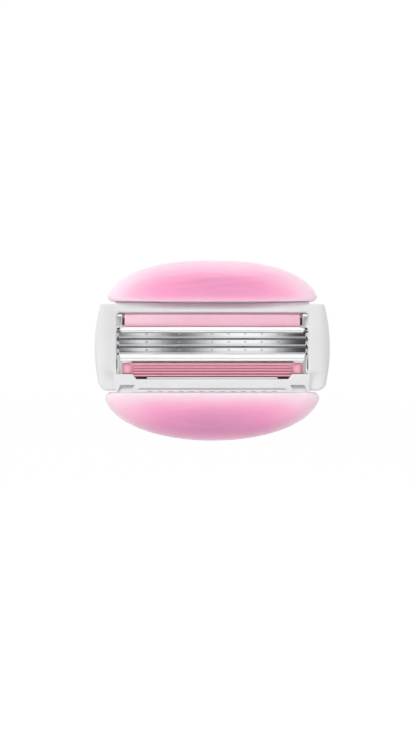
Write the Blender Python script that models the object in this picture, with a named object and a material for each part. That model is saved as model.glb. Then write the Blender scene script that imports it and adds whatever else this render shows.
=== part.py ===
"""A razor cartridge: a sprung three-blade head between two gel bars, on a pivoting yoke.

Units are metres. World +Z is up, the blades face -Y, and the origin is the centre of the
socket floor in the yoke, where a handle seats. Every piece of the head is drawn in the head's
own frame: x along the blades, y back from the shaving plane, z up from the middle blade's edge.
"""

import math

import bmesh
import bpy
from mathutils import Matrix, Vector

MM = 0.001

# Clearances
SEAT_GAP = 0.04 * MM  # pieces that rest on each other
SNUG_GAP = 0.06 * MM  # pieces that slip into each other
HINGE_PLAY = 0.08 * MM  # radial play of a pin in its bore
SWING_GAP = 0.10 * MM  # sides of pieces that turn past each other

# Blades and their bent supports
BLADE_COUNT = 3
BLADE_PITCH = 1.50 * MM
BLADE_TILT = math.radians(21.5)
STRIP_WIDTH = 1.25 * MM
STRIP_THICKNESS = 0.10 * MM
STRIP_LENGTH = 34.9 * MM
EDGE_BEVEL = 0.30 * MM
WELD_GAP = 0.02 * MM
SUPPORT_THICKNESS = 0.25 * MM
SUPPORT_SETBACK = 0.45 * MM
SUPPORT_RISE = 0.34 * MM
SUPPORT_DEPTH = 2.90 * MM
TAB_REACH = 1.35 * MM
BLADE_TRAVEL = 0.40 * MM

# Spring fingers behind the blades
FINGER_THICKNESS = 0.40 * MM
FINGER_TIP_THICKNESS = 0.28 * MM
FINGER_WIDTH = 0.70 * MM
FINGER_REACH = 4.1 * MM
FINGER_PAD = 0.9 * MM
FINGER_ROOT = 0.80 * MM

# Blade housing
END_PLAY = 0.15 * MM
SIDE_WALL = 1.80 * MM
SLOT_PLAY = 0.10 * MM
ROOT_WALL = 0.10 * MM
BACK_WALL = 0.50 * MM
SEAT_DEPTH = 1.30 * MM
GUARD_GAP = 0.05 * MM
GUARD_BAR_HEIGHT = 1.10 * MM
GUARD_BAR_INSET = 0.34 * MM
GUARD_GROOVE = 0.16 * MM
CAP_GAP = 0.38 * MM
LIP_HEIGHT = 0.77 * MM
LIP_SET_BACK = 0.10 * MM
LIP_TAPER = 1.15 * MM
LIP_END_HEIGHT = 0.30 * MM
BRACKET_WIDTH = 0.62 * MM
BRACKET_SET_BACK = 0.25 * MM
CROSS_RIB_X = 6.0 * MM
CROSS_RIB_WIDTH = 0.9 * MM
CROSS_RIB_DEPTH = 0.75 * MM

# Lubricating strip and guard fins
CAP_STRIP_GAP = 0.20 * MM
CAP_STRIP_HEIGHT = 2.10 * MM
CAP_STRIP_END_GAP = 0.58 * MM
CAP_STRIP_PROUD = 0.05 * MM
CAP_STRIP_ROUND = 0.18 * MM
FIN_GAP = 0.25 * MM
FIN_COUNT = 5
FIN_PITCH = 0.54 * MM
FIN_DEPTH = 0.62 * MM
FIN_SET_BACK = 0.06 * MM
FIN_TIP = 0.16 * MM
FIN_ROOT = 0.40 * MM
FIN_END_GAP = 0.75 * MM
FIN_PAD_WIDTH = 1.75 * MM
FIN_PAD_SET_BACK = 0.22 * MM
FIN_PAD_ROUND = 0.25 * MM
FIN_SLOPE = 0.80 * MM

# Blade clips
CLIP_THICKNESS = 0.30 * MM
CLIP_WIDTH = 1.10 * MM
CLIP_TOE = 1.20 * MM
CLIP_OUTSET = 0.25 * MM

# Outer frame
FRAME_PROUD = 0.25 * MM
FRONT_WALL = 0.63 * MM
WALL_SHOW = 0.38 * MM
LEDGE_GAP = 0.27 * MM
LEDGE_HEIGHT = 2.05 * MM
LEDGE_OVERHANG = 0.22 * MM
LEDGE_SET_BACK = 0.30 * MM
SILL_GAP = 0.45 * MM
SILL_HEIGHT = 2.30 * MM
SILL_STEP = 0.95 * MM
SILL_STEP_LENGTH = 3.0 * MM
SILL_STEP_SLOPE = 0.75 * MM
REBATE = 0.72 * MM
FRAME_BEHIND = 0.20 * MM
END_WALL = 2.64 * MM
END_BULGE_RADIUS = 30.0 * MM
END_TOP_STEP = 0.40 * MM
END_BOTTOM_STEP = 0.10 * MM
END_TOP_ROUND = 0.60 * MM
END_BOTTOM_ROUND = 1.90 * MM
FRAME_EDGE_ROUND = 0.50 * MM
SNAP_X = 4.4 * MM
SNAP_WIDTH = 3.0 * MM
SNAP_REACH = 0.40 * MM
SNAP_DEPTH = 0.45 * MM
GROOVE_HEIGHT = 0.42 * MM
GROOVE_DEPTH = 0.45 * MM
GROOVE_RISE = 0.40 * MM
POCKET_LENGTH = 2.6 * MM
POCKET_HEIGHT = 1.0 * MM
POCKET_GAP = 0.75 * MM
POCKET_END_GAP = 0.51 * MM

# Gel bars
UPPER_BAR_GAP = 0.12 * MM
UPPER_BAR_DEPTH = 7.67 * MM
UPPER_BAR_END_INSET = 2.20 * MM
UPPER_BAR_POWER = 2.12
LOWER_BAR_GAP = 0.18 * MM
LOWER_BAR_DEPTH = 9.10 * MM
LOWER_BAR_END_INSET = 1.90 * MM
LOWER_BAR_POWER = 2.0
BAR_CORNER = 1.10 * MM
BAR_PROUD = 0.90 * MM
BAR_BACK = 2.70 * MM
BAR_RIM = 0.80 * MM
BAR_CROWN_RUN = 3.30 * MM
BAR_INNER_RUN_SHARE = 0.62
BAR_ARC_POINTS = 28
BAR_CORNER_POINTS = 4
BAR_CROWN_LEVELS = 6
BAR_RIM_LEVELS = 3
BAR_PLUG_RADIUS = 0.90 * MM
BAR_PLUG_COUNT = 7
BAR_PLUG_PITCH = 4.0 * MM
BAR_PLUG_RISE = 3.6 * MM
BAR_PLUG_SINK = 0.40 * MM

# Trays that carry the gel bars, and their hinges
TRAY_THICKNESS = 1.10 * MM
TRAY_INSET = 0.90 * MM
TRAY_INNER_INSET = 0.60 * MM
HINGE_BACK = 0.90 * MM
HINGE_DROP = 1.15 * MM
HINGE_END_INSET = 7.6 * MM
HINGE_PIN_RADIUS = 0.55 * MM
HINGE_EAR_WALL = 0.35 * MM
HINGE_EAR_WIDTH = 1.20 * MM
HINGE_LUG_WIDTH = 1.80 * MM
HINGE_ARM_GAP = 0.30 * MM
HINGE_ARM_HEIGHT = 1.90 * MM

# Leaf springs behind the trays
LEAF_END_INSET = 12.1 * MM
LEAF_WIDTH = 2.8 * MM
LEAF_THICKNESS = 0.40 * MM
LEAF_TIP_THICKNESS = 0.32 * MM
LEAF_ROOT_HEIGHT = 0.60 * MM
LEAF_ROOT_DEPTH = 0.95 * MM
LEAF_RISE = 4.2 * MM

# Yoke that joins the head to a handle
PIVOT_BACK = 1.40 * MM
PIVOT_DROP = 2.50 * MM
PIVOT_PIN_RADIUS = 0.70 * MM
PIVOT_PIN_LENGTH = 1.70 * MM
PIVOT_LUG_WALL = 0.75 * MM
PIVOT_LUG_WIDTH = 1.85 * MM
YOKE_SPAN = 18.5 * MM
ARM_WIDTH = 1.60 * MM
ARM_RADIUS = 1.20 * MM
ARM_LENGTH = 4.00 * MM
SOCKET_WIDTH = 11.0 * MM
SOCKET_HEIGHT = 5.20 * MM
SOCKET_DEPTH = 6.50 * MM
SOCKET_WALL = 1.10 * MM
SOCKET_FLOOR = 1.20 * MM
SOCKET_ROUND = 1.20 * MM
PLUNGER_SLOT_WIDTH = 4.4 * MM
PLUNGER_SLOT_HEIGHT = 1.30 * MM
PLUNGER_SLOT_RISE = 1.60 * MM
LATCH_WIDTH = 2.2 * MM
LATCH_HEIGHT = 2.0 * MM
LATCH_INSET = 2.6 * MM
STOP_WIDTH = 3.2 * MM
STOP_HEIGHT = 1.20 * MM
STOP_RISE = 0.15 * MM

OVERLAP = 0.30 * MM  # how far shapes that are joined run into each other
OVERCUT = 1.00 * MM  # how far a cutter runs past the face that it opens
ROUND_SIDES = 20

# Depths of the head, back from the shaving plane
FRAME_FRONT = -FRAME_PROUD
FRAME_INNER = FRAME_FRONT + FRONT_WALL
CLIP_FRONT = FRAME_INNER + SEAT_GAP
CLIP_INNER = CLIP_FRONT + CLIP_THICKNESS
TAB_FRONT = CLIP_INNER + SEAT_GAP
SLOT_END = SUPPORT_DEPTH + BLADE_TRAVEL + SLOT_PLAY
FINGER_FRONT = SLOT_END + ROOT_WALL
FINGER_BACK = FINGER_FRONT + FINGER_THICKNESS
HOUSING_BACK = FINGER_BACK + BACK_WALL
FRAME_BACK = HOUSING_BACK + FRAME_BEHIND
TRAY_FRONT = BAR_BACK + SEAT_GAP
TRAY_BACK = TRAY_FRONT + TRAY_THICKNESS
HINGE_Y = FRAME_BACK + HINGE_BACK
PIVOT_Y = HOUSING_BACK + PIVOT_BACK
PIVOT_Z = -PIVOT_DROP

# Heights of the head, up from the middle blade's edge
STACK_HALF = BLADE_PITCH * (BLADE_COUNT - 1) / 2
STRIP_RISE = STRIP_WIDTH * math.cos(BLADE_TILT)
GUARD_TOP = -STACK_HALF - GUARD_GAP
GUARD_BOTTOM = GUARD_TOP - GUARD_BAR_HEIGHT
FIN_TOP = GUARD_BOTTOM - FIN_GAP
FIN_BOTTOM = FIN_TOP - FIN_PITCH * FIN_COUNT
WINDOW_BOTTOM = FIN_BOTTOM - SILL_GAP
FRAME_BOTTOM = WINDOW_BOTTOM - SILL_HEIGHT
LIP_BOTTOM = STACK_HALF + STRIP_RISE + CAP_GAP
LIP_TOP = LIP_BOTTOM + LIP_HEIGHT
CAP_STRIP_BOTTOM = LIP_TOP + CAP_STRIP_GAP
CAP_STRIP_TOP = CAP_STRIP_BOTTOM + CAP_STRIP_HEIGHT
WINDOW_TOP = CAP_STRIP_TOP + LEDGE_GAP
FRAME_TOP = WINDOW_TOP + LEDGE_HEIGHT
POCKET_TOP = WINDOW_TOP + REBATE
POCKET_BOTTOM = WINDOW_BOTTOM - REBATE
END_TOP = FRAME_TOP - END_TOP_STEP
END_BOTTOM = FRAME_BOTTOM + END_BOTTOM_STEP
HOUSING_TOP = POCKET_TOP - SNUG_GAP
HOUSING_BOTTOM = POCKET_BOTTOM + SNUG_GAP

# Half widths of the head
WALL_INNER = STRIP_LENGTH / 2 + END_PLAY
WALL_OUTER = WALL_INNER + SIDE_WALL
TAB_END = STRIP_LENGTH / 2 + TAB_REACH
CAP_STRIP_HALF = WALL_INNER - BRACKET_WIDTH - CAP_STRIP_END_GAP
FIN_PAD_END = WALL_INNER - FIN_END_GAP
FIN_HALF = FIN_PAD_END - FIN_PAD_WIDTH
WINDOW_HALF = WALL_INNER + WALL_SHOW
LEDGE_HALF = WINDOW_HALF + LEDGE_OVERHANG
POCKET_HALF = WALL_OUTER + SNUG_GAP
FRAME_HALF = POCKET_HALF + END_WALL
CLIP_RIGHT = WALL_OUTER - CLIP_OUTSET
CLIP_LEFT = CLIP_RIGHT - CLIP_WIDTH
HINGE_X = FRAME_HALF - HINGE_END_INSET
LEAF_X = FRAME_HALF - LEAF_END_INSET
UPPER_BAR_HALF = FRAME_HALF - UPPER_BAR_END_INSET
LOWER_BAR_HALF = FRAME_HALF - LOWER_BAR_END_INSET

# Where the head stands in the world
HEAD_PLACE = Vector((0, -(ARM_LENGTH + PIVOT_Y), -PIVOT_Z))

WHITE = ("white_plastic", (0.86, 0.86, 0.86), 0.35, 0.0)
STEEL = ("blade_steel", (0.62, 0.63, 0.64), 0.18, 1.0)
SPRING_STEEL = ("support_steel", (0.50, 0.51, 0.52), 0.30, 1.0)
ALUMINIUM = ("clip_aluminium", (0.70, 0.71, 0.72), 0.35, 1.0)
GEL = ("pink_gel", (0.90, 0.42, 0.62), 0.30, 0.0)
LUBRICANT = ("pale_pink_strip", (0.84, 0.52, 0.63), 0.45, 0.0)
ELASTOMER = ("rose_elastomer", (0.70, 0.30, 0.40), 0.50, 0.0)


def clear_scene():
    for old in list(bpy.data.objects):
        bpy.data.objects.remove(old)


def new_collection(name):
    made = bpy.data.collections.new(name)
    bpy.context.scene.collection.children.link(made)
    return made


def material(finish):
    """The Principled material of a finish, made once."""
    name, colour, roughness, metallic = finish
    found = bpy.data.materials.get(name)
    if found:
        return found
    made = bpy.data.materials.new(name)
    made.use_nodes = True
    shader = made.node_tree.nodes["Principled BSDF"]
    shader.inputs["Base Color"].default_value = (*colour, 1)
    shader.inputs["Roughness"].default_value = roughness
    shader.inputs["Metallic"].default_value = metallic
    return made


def empty_at(name, place, parent=None):
    made = bpy.data.objects.new(name, None)
    PIECES.objects.link(made)
    made.parent = parent
    made.location = place
    return made


def tidy(shape):
    """Merges a bmesh's doubles and turns its faces outwards."""
    bmesh.ops.remove_doubles(shape, verts=shape.verts, dist=MM / 10000)
    bmesh.ops.recalc_face_normals(shape, faces=shape.faces)
    return shape


def box(low, high):
    """A block between two corners."""
    low, high = Vector(low), Vector(high)
    size = high - low
    shape = bmesh.new()
    place = Matrix.Translation((low + high) / 2) @ Matrix.Diagonal((*size, 1))
    bmesh.ops.create_cube(shape, size=1, matrix=place)
    return shape


def rod(start, end, radius, height, depth, sides=ROUND_SIDES):
    """A round rod along x from start to end, at that height and depth."""
    shape = bmesh.new()
    middle = Vector(((start + end) / 2, depth, height))
    place = Matrix.Translation(middle) @ Matrix.Rotation(math.pi / 2, 4, "Y")
    bmesh.ops.create_cone(
        shape, cap_ends=True, segments=sides, radius1=radius, radius2=radius,
        depth=abs(end - start), matrix=place,
    )
    return shape


def plug(place, radius, start, end, sides=12):
    """A round plug along y from start to end, at that x and z."""
    shape = bmesh.new()
    middle = Vector((place[0], (start + end) / 2, place[1]))
    turn = Matrix.Translation(middle) @ Matrix.Rotation(math.pi / 2, 4, "X")
    bmesh.ops.create_cone(
        shape, cap_ends=True, segments=sides, radius1=radius, radius2=radius,
        depth=abs(end - start), matrix=turn,
    )
    return shape


def prism(outline, along, start, end):
    """A flat outline drawn out along x, y or z. It is in (y, z), (x, z) or (x, y) for each of these."""
    curve = bpy.data.curves.new("outline", "CURVE")
    curve.dimensions = "2D"
    curve.fill_mode = "BOTH"
    curve.extrude = (end - start) / 2
    line = curve.splines.new("POLY")
    line.points.add(len(outline) - 1)
    for point, (u, v) in zip(line.points, outline):
        point.co = (u, v, 0, 1)
    line.use_cyclic_u = True
    holder = bpy.data.objects.new("outline", curve)
    bpy.context.scene.collection.objects.link(holder)
    bpy.context.view_layer.update()
    graph = bpy.context.evaluated_depsgraph_get()
    mesh = bpy.data.meshes.new_from_object(holder.evaluated_get(graph))
    middle = (start + end) / 2
    if along == "x":
        turn = Matrix(((0, 0, 1, middle), (1, 0, 0, 0), (0, 1, 0, 0), (0, 0, 0, 1)))
    elif along == "z":
        turn = Matrix.Translation((0, 0, middle))
    else:
        turn = Matrix(((1, 0, 0, 0), (0, 0, -1, middle), (0, 1, 0, 0), (0, 0, 0, 1)))
    mesh.transform(turn)
    shape = bmesh.new()
    shape.from_mesh(mesh)
    bpy.data.objects.remove(holder)
    bpy.data.curves.remove(curve)
    bpy.data.meshes.remove(mesh)
    tidy(shape)
    bmesh.ops.dissolve_limit(shape, angle_limit=math.radians(0.5), verts=shape.verts, edges=shape.edges)
    return shape


def arc(centre, radius, start, end, count):
    """Points along an arc, with its angles in degrees."""
    turns = [math.radians(start + (end - start) * k / count) for k in range(count + 1)]
    return [(centre[0] + radius * math.cos(t), centre[1] + radius * math.sin(t)) for t in turns]


def round_edges(shape, width, steps, chosen):
    """Rounds the sharp edges whose two ends the test picks."""
    sharp = [e for e in shape.edges if e.calc_face_angle(0) > math.radians(30)]
    edges = [e for e in sharp if all(chosen(v.co) for v in e.verts)]
    bmesh.ops.bevel(
        shape, geom=edges, offset=width, segments=steps, profile=0.5, affect="EDGES",
        clamp_overlap=True,
    )
    return shape


def mirrored(shape, axis):
    """A copy of a shape on the other side of x or z."""
    copy = shape.copy()
    flip = Matrix.Diagonal((-1, 1, 1, 1) if axis == "x" else (1, 1, -1, 1))
    bmesh.ops.transform(copy, matrix=flip, verts=copy.verts)
    bmesh.ops.reverse_faces(copy, faces=copy.faces)
    return copy


def mesh_object(name, shape, collection, parent, origin):
    """A mesh object with its origin at a point of the head's frame."""
    mesh = bpy.data.meshes.new(name)
    shape.to_mesh(mesh)
    shape.free()
    mesh.transform(Matrix.Translation(-Vector(origin)))
    mesh.shade_smooth()
    mesh.set_sharp_from_angle(angle=math.radians(35))
    made = bpy.data.objects.new(name, mesh)
    collection.objects.link(made)
    made.parent = parent
    carrier = Vector(parent.get("head_point", (0, 0, 0))) if parent else Vector()
    made.location = Vector(origin) - carrier
    return made


def piece(name, shape, finish, parent, origin=(0, 0, 0)):
    made = mesh_object(name, shape, PIECES, parent, origin)
    made.data.materials.append(material(finish))
    made["origin"] = tuple(origin)
    return made


def boolean(target, shape, operation, word):
    """Adds a hidden shape to a piece as a Boolean."""
    count = len(target.modifiers) + 1
    tool = mesh_object(f"{target.name}_{word}_{count}", shape, CUTTERS, target.parent, target["origin"])
    tool.hide_render = True
    tool.display_type = "WIRE"
    change = target.modifiers.new(f"{word}_{count}", "BOOLEAN")
    change.operation = operation
    change.solver = "EXACT"
    change.object = tool


def cut(target, shape):
    boolean(target, shape, "DIFFERENCE", "cut")


def join(target, shape):
    boolean(target, shape, "UNION", "join")


def both_sides(act, target, shape):
    """Cuts or joins a shape and its mirror image across the middle."""
    act(target, mirrored(shape, "x"))
    act(target, shape)


def edge_height(number):
    """Height of a blade's edge. Blade 1 is nearest the lubricating strip."""
    return STACK_HALF - BLADE_PITCH * (number - 1)


def on_blade(number, along, behind):
    """Point of a blade's section, measured up its slope from the edge and back from its middle."""
    back, up = math.sin(BLADE_TILT), math.cos(BLADE_TILT)
    return (along * back + behind * up, edge_height(number) + along * up - behind * back)


def leg_heights(number):
    """Bottom and top of the straight leg of a blade's support."""
    top = on_blade(number, STRIP_WIDTH + SUPPORT_RISE, STRIP_THICKNESS / 2 + WELD_GAP)[1]
    return top - SUPPORT_THICKNESS, top


def blade_strip(number, head):
    """A steel strip ground on both faces to its edge."""
    half = STRIP_THICKNESS / 2
    section = [
        on_blade(number, 0, 0),
        on_blade(number, EDGE_BEVEL, half),
        on_blade(number, STRIP_WIDTH, half),
        on_blade(number, STRIP_WIDTH, -half),
        on_blade(number, EDGE_BEVEL, -half),
    ]
    shape = prism(section, "x", -STRIP_LENGTH / 2, STRIP_LENGTH / 2)
    return piece(f"blade_strip_{number}", shape, STEEL, head, (0, 0, edge_height(number)))


def blade_support(number, head):
    """A bent support: a sloped platform under the strip, and a straight leg with a tab at each end."""
    front = STRIP_THICKNESS / 2 + WELD_GAP
    rear = front + SUPPORT_THICKNESS
    top = STRIP_WIDTH + SUPPORT_RISE
    platform = [
        on_blade(number, SUPPORT_SETBACK, front),
        on_blade(number, SUPPORT_SETBACK, rear),
        on_blade(number, top, rear),
        on_blade(number, top, front),
    ]
    shape = prism(platform, "x", -STRIP_LENGTH / 2, STRIP_LENGTH / 2)
    made = piece(f"blade_support_{number}", shape, SPRING_STEEL, head, (0, 0, edge_height(number)))
    low, high = leg_heights(number)
    bend = on_blade(number, top, front)[0] + SUPPORT_THICKNESS / 4
    half = STRIP_LENGTH / 2
    join(made, box((-half, bend, low), (half, SUPPORT_DEPTH, high)))
    tab = box((half - OVERLAP, TAB_FRONT, low), (TAB_END, SUPPORT_DEPTH, high))
    both_sides(join, made, tab)
    return made


def finger_heights(number):
    low, high = leg_heights(number)
    middle = (low + high) / 2
    return middle - FINGER_WIDTH / 2, middle + FINGER_WIDTH / 2


def blade_finger(number, side, head):
    """A cantilever finger, rooted in the side wall, whose tip pushes a blade forward."""
    tip_front = SUPPORT_DEPTH + SEAT_GAP
    tip_back = tip_front + FINGER_TIP_THICKNESS
    tip = WALL_INNER - FINGER_REACH
    root = WALL_INNER + FINGER_ROOT
    plan = [
        (root, FINGER_FRONT), (root, FINGER_BACK), (WALL_INNER - OVERLAP, FINGER_BACK),
        (tip + FINGER_PAD, tip_back), (tip, tip_back),
        (tip, tip_front), (tip + FINGER_PAD, tip_front), (WALL_INNER - OVERLAP, FINGER_FRONT),
    ]
    shape = prism(plan, "z", *finger_heights(number))
    if side == "left":
        shape = mirrored(shape, "x")
    return piece(f"blade_finger_{number}_{side}", shape, WHITE, head)


def clip_section(grow, outer_grow):
    """Section of a blade clip in (y, z): a C that wraps the side wall and opens at the back."""
    front, back = CLIP_FRONT - outer_grow, HOUSING_BACK + outer_grow
    low, high = HOUSING_BOTTOM - outer_grow, HOUSING_TOP + outer_grow
    thick = CLIP_THICKNESS + grow
    inner_front, inner_back = CLIP_FRONT + thick, HOUSING_BACK - thick
    inner_low, inner_high = HOUSING_BOTTOM + thick, HOUSING_TOP - thick
    toe_low = HOUSING_BOTTOM + CLIP_TOE + grow
    toe_high = HOUSING_TOP - CLIP_TOE - grow
    return [
        (back, toe_low), (back, low), (front, low), (front, high), (back, high), (back, toe_high),
        (inner_back, toe_high), (inner_back, inner_high), (inner_front, inner_high),
        (inner_front, inner_low), (inner_back, inner_low), (inner_back, toe_low),
    ]


def blade_clip(side, head):
    """An aluminium clip bent round the end of the housing, in front of the blade tabs."""
    shape = prism(clip_section(0, 0), "x", CLIP_LEFT, CLIP_RIGHT)
    if side == "left":
        shape = mirrored(shape, "x")
    return piece(f"blade_clip_{side}", shape, ALUMINIUM, head)


def guard_section():
    """Section of the guard bar in (y, z): two round-nosed ridges with a groove between them."""
    middle = (GUARD_TOP + GUARD_BOTTOM) / 2
    nose = GUARD_BAR_HEIGHT / 8
    return [
        (SEAT_DEPTH + OVERLAP, GUARD_TOP), (nose, GUARD_TOP), (0, GUARD_TOP - nose),
        (0, middle + nose), (GUARD_GROOVE, middle), (GUARD_GROOVE / 2, middle - nose),
        (GUARD_GROOVE / 2, GUARD_BOTTOM + nose), (GUARD_GROOVE / 2 + nose, GUARD_BOTTOM),
        (SEAT_DEPTH + OVERLAP, GUARD_BOTTOM),
    ]


def blade_housing(head):
    """The moulded housing: slotted side walls, guard base, cap base, cross ribs and pivot lugs."""
    base = box((-WALL_OUTER, SEAT_DEPTH, HOUSING_BOTTOM), (WALL_OUTER, HOUSING_BACK, HOUSING_TOP))
    made = piece("blade_housing", base, WHITE, head)
    bay_top = finger_heights(1)[1] + SWING_GAP
    cut(made, box(
        (-WALL_INNER, SEAT_DEPTH - OVERCUT, GUARD_TOP),
        (WALL_INNER, HOUSING_BACK + OVERCUT, bay_top),
    ))
    wall_front = CLIP_INNER
    wall = box(
        (WALL_INNER, wall_front, HOUSING_BOTTOM), (WALL_OUTER, SEAT_DEPTH + OVERLAP, HOUSING_TOP)
    )
    both_sides(join, made, wall)
    rib = box(
        (CROSS_RIB_X - CROSS_RIB_WIDTH / 2, HOUSING_BACK - CROSS_RIB_DEPTH, GUARD_TOP - OVERLAP),
        (CROSS_RIB_X + CROSS_RIB_WIDTH / 2, HOUSING_BACK, bay_top + OVERLAP),
    )
    both_sides(join, made, rib)
    bar_half = STRIP_LENGTH / 2 - GUARD_BAR_INSET / 2
    join(made, prism(guard_section(), "x", -bar_half, bar_half))
    lip_half = WALL_INNER - GUARD_BAR_INSET
    lip = [
        (-lip_half, LIP_BOTTOM), (lip_half, LIP_BOTTOM), (lip_half, LIP_BOTTOM + LIP_END_HEIGHT),
        (lip_half - LIP_TAPER, LIP_TOP), (LIP_TAPER - lip_half, LIP_TOP),
        (-lip_half, LIP_BOTTOM + LIP_END_HEIGHT),
    ]
    join(made, prism(lip, "y", LIP_SET_BACK, SEAT_DEPTH + OVERLAP))
    bracket = box(
        (WALL_INNER - BRACKET_WIDTH, BRACKET_SET_BACK, CAP_STRIP_BOTTOM),
        (WINDOW_HALF - SNUG_GAP, SEAT_DEPTH + OVERLAP, CAP_STRIP_TOP),
    )
    both_sides(join, made, bracket)
    add_pivot_lugs(made)
    add_rest_stop(made)
    both_sides(cut, made, prism(
        clip_section(SNUG_GAP, OVERCUT), "x", CLIP_LEFT - SNUG_GAP, CLIP_RIGHT + SNUG_GAP
    ))
    for number in range(1, BLADE_COUNT + 1):
        low, high = leg_heights(number)
        slot = box(
            (WALL_INNER - OVERLAP, wall_front - OVERCUT, low - SNUG_GAP),
            (TAB_END + SNUG_GAP, SLOT_END, high + SNUG_GAP),
        )
        both_sides(cut, made, slot)
        low, high = finger_heights(number)
        root = box(
            (WALL_INNER - OVERLAP, FINGER_FRONT - SNUG_GAP, low - SNUG_GAP),
            (WALL_INNER + FINGER_ROOT + SNUG_GAP, FINGER_BACK + SNUG_GAP, high + SNUG_GAP),
        )
        both_sides(cut, made, root)
    return made


def add_pivot_lugs(housing):
    """Two lugs on the back of the housing with the bores that the yoke's pins turn in."""
    inner = YOKE_SPAN / 2 + SWING_GAP
    outer = inner + PIVOT_LUG_WIDTH
    bore = PIVOT_PIN_RADIUS + HINGE_PLAY
    radius = bore + PIVOT_LUG_WALL
    side = [(HOUSING_BACK - OVERLAP, PIVOT_Z - radius), *arc((PIVOT_Y, PIVOT_Z), radius, -90, 90, 8)]
    side.append((HOUSING_BACK - OVERLAP, PIVOT_Z + radius))
    both_sides(join, housing, prism(side, "x", inner, outer))
    hole = rod(inner - OVERCUT, outer + OVERCUT, bore, PIVOT_Z, PIVOT_Y)
    both_sides(cut, housing, hole)


def add_rest_stop(housing):
    """A post that the yoke leans on at rest."""
    end = PIVOT_Y + ARM_LENGTH - SOCKET_FLOOR - SWING_GAP
    low = PIVOT_Z - SOCKET_HEIGHT / 2 - SOCKET_WALL + STOP_RISE
    join(housing, box(
        (-STOP_WIDTH / 2, HOUSING_BACK - OVERLAP, low), (STOP_WIDTH / 2, end, low + STOP_HEIGHT)
    ))


def lubricating_strip(head):
    """The flat bar of lubricant above the blades, rounded along its front."""
    front = -CAP_STRIP_PROUD
    shape = box(
        (-CAP_STRIP_HALF, front, CAP_STRIP_BOTTOM),
        (CAP_STRIP_HALF, SEAT_DEPTH - SEAT_GAP, CAP_STRIP_TOP),
    )
    round_edges(shape, CAP_STRIP_ROUND, 2, lambda co: co.y < front + OVERLAP)
    return piece("lubricating_strip", shape, LUBRICANT, head)


def guard_fins(head):
    """The soft guard below the blades: a comb of long fins between two smooth pads."""
    root = FIN_SET_BACK + FIN_DEPTH
    back = SEAT_DEPTH - SEAT_GAP
    comb = [(back, FIN_BOTTOM), (back, FIN_TOP)]
    for k in range(FIN_COUNT):
        middle = FIN_TOP - FIN_PITCH * (k + 0.5)
        comb += [
            (root, middle + FIN_ROOT / 2), (FIN_SET_BACK, middle + FIN_TIP / 2),
            (FIN_SET_BACK, middle - FIN_TIP / 2), (root, middle - FIN_ROOT / 2),
        ]
    shape = prism(comb, "x", -FIN_HALF, FIN_HALF)
    made = piece("guard_fins", shape, ELASTOMER, head)
    pad_bottom = FIN_BOTTOM + FIN_PITCH
    pad = box(
        (FIN_HALF - OVERLAP, FIN_PAD_SET_BACK, pad_bottom),
        (FIN_PAD_END, back, FIN_TOP - FIN_TIP),
    )
    round_edges(pad, FIN_PAD_ROUND, 2, lambda co: co.x > FIN_HALF)
    both_sides(join, made, pad)
    slope_top = pad_bottom - OVERLAP / 10
    corner = [
        (FIN_HALF - FIN_SLOPE, FIN_BOTTOM - OVERLAP), (FIN_HALF + OVERCUT, FIN_BOTTOM - OVERLAP),
        (FIN_HALF + OVERCUT, slope_top), (FIN_HALF, slope_top), (FIN_HALF - FIN_SLOPE, FIN_BOTTOM),
    ]
    both_sides(cut, made, prism(corner, "y", -OVERCUT, back + OVERCUT))
    return made


def frame_outline():
    """Front outline of the outer frame in (x, z), with its bulging ends and without its ledges."""
    centre = (FRAME_HALF - END_BULGE_RADIUS, (END_TOP + END_BOTTOM) / 2)

    def bulge(height):
        """Half width of the bulging end at a height."""
        return centre[0] + math.sqrt(END_BULGE_RADIUS**2 - (height - centre[1]) ** 2)

    top_start, bottom_end = END_TOP - END_TOP_ROUND, END_BOTTOM + END_BOTTOM_ROUND
    heights = [top_start + (bottom_end - top_start) * k / 10 for k in range(11)]
    upper = (bulge(top_start) - END_TOP_ROUND, top_start)
    lower = (bulge(bottom_end) - END_BOTTOM_ROUND, bottom_end)
    right = arc(upper, END_TOP_ROUND, 90, 0, 4)[:-1]
    right += [(bulge(height), height) for height in heights]
    right += arc(lower, END_BOTTOM_ROUND, 0, -90, 6)[1:]
    left = [(-x, z) for x, z in reversed(right)]
    return right + left


def window_outline():
    """Outline of the window in (x, z), stepped up at its two lower corners."""
    step = WINDOW_BOTTOM + SILL_STEP
    foot = WINDOW_HALF - SILL_STEP_LENGTH
    right = [
        (WINDOW_HALF, WINDOW_TOP), (WINDOW_HALF, step), (foot, step),
        (foot - SILL_STEP_SLOPE, WINDOW_BOTTOM),
    ]
    return right + [(-x, z) for x, z in reversed(right)]


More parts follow.
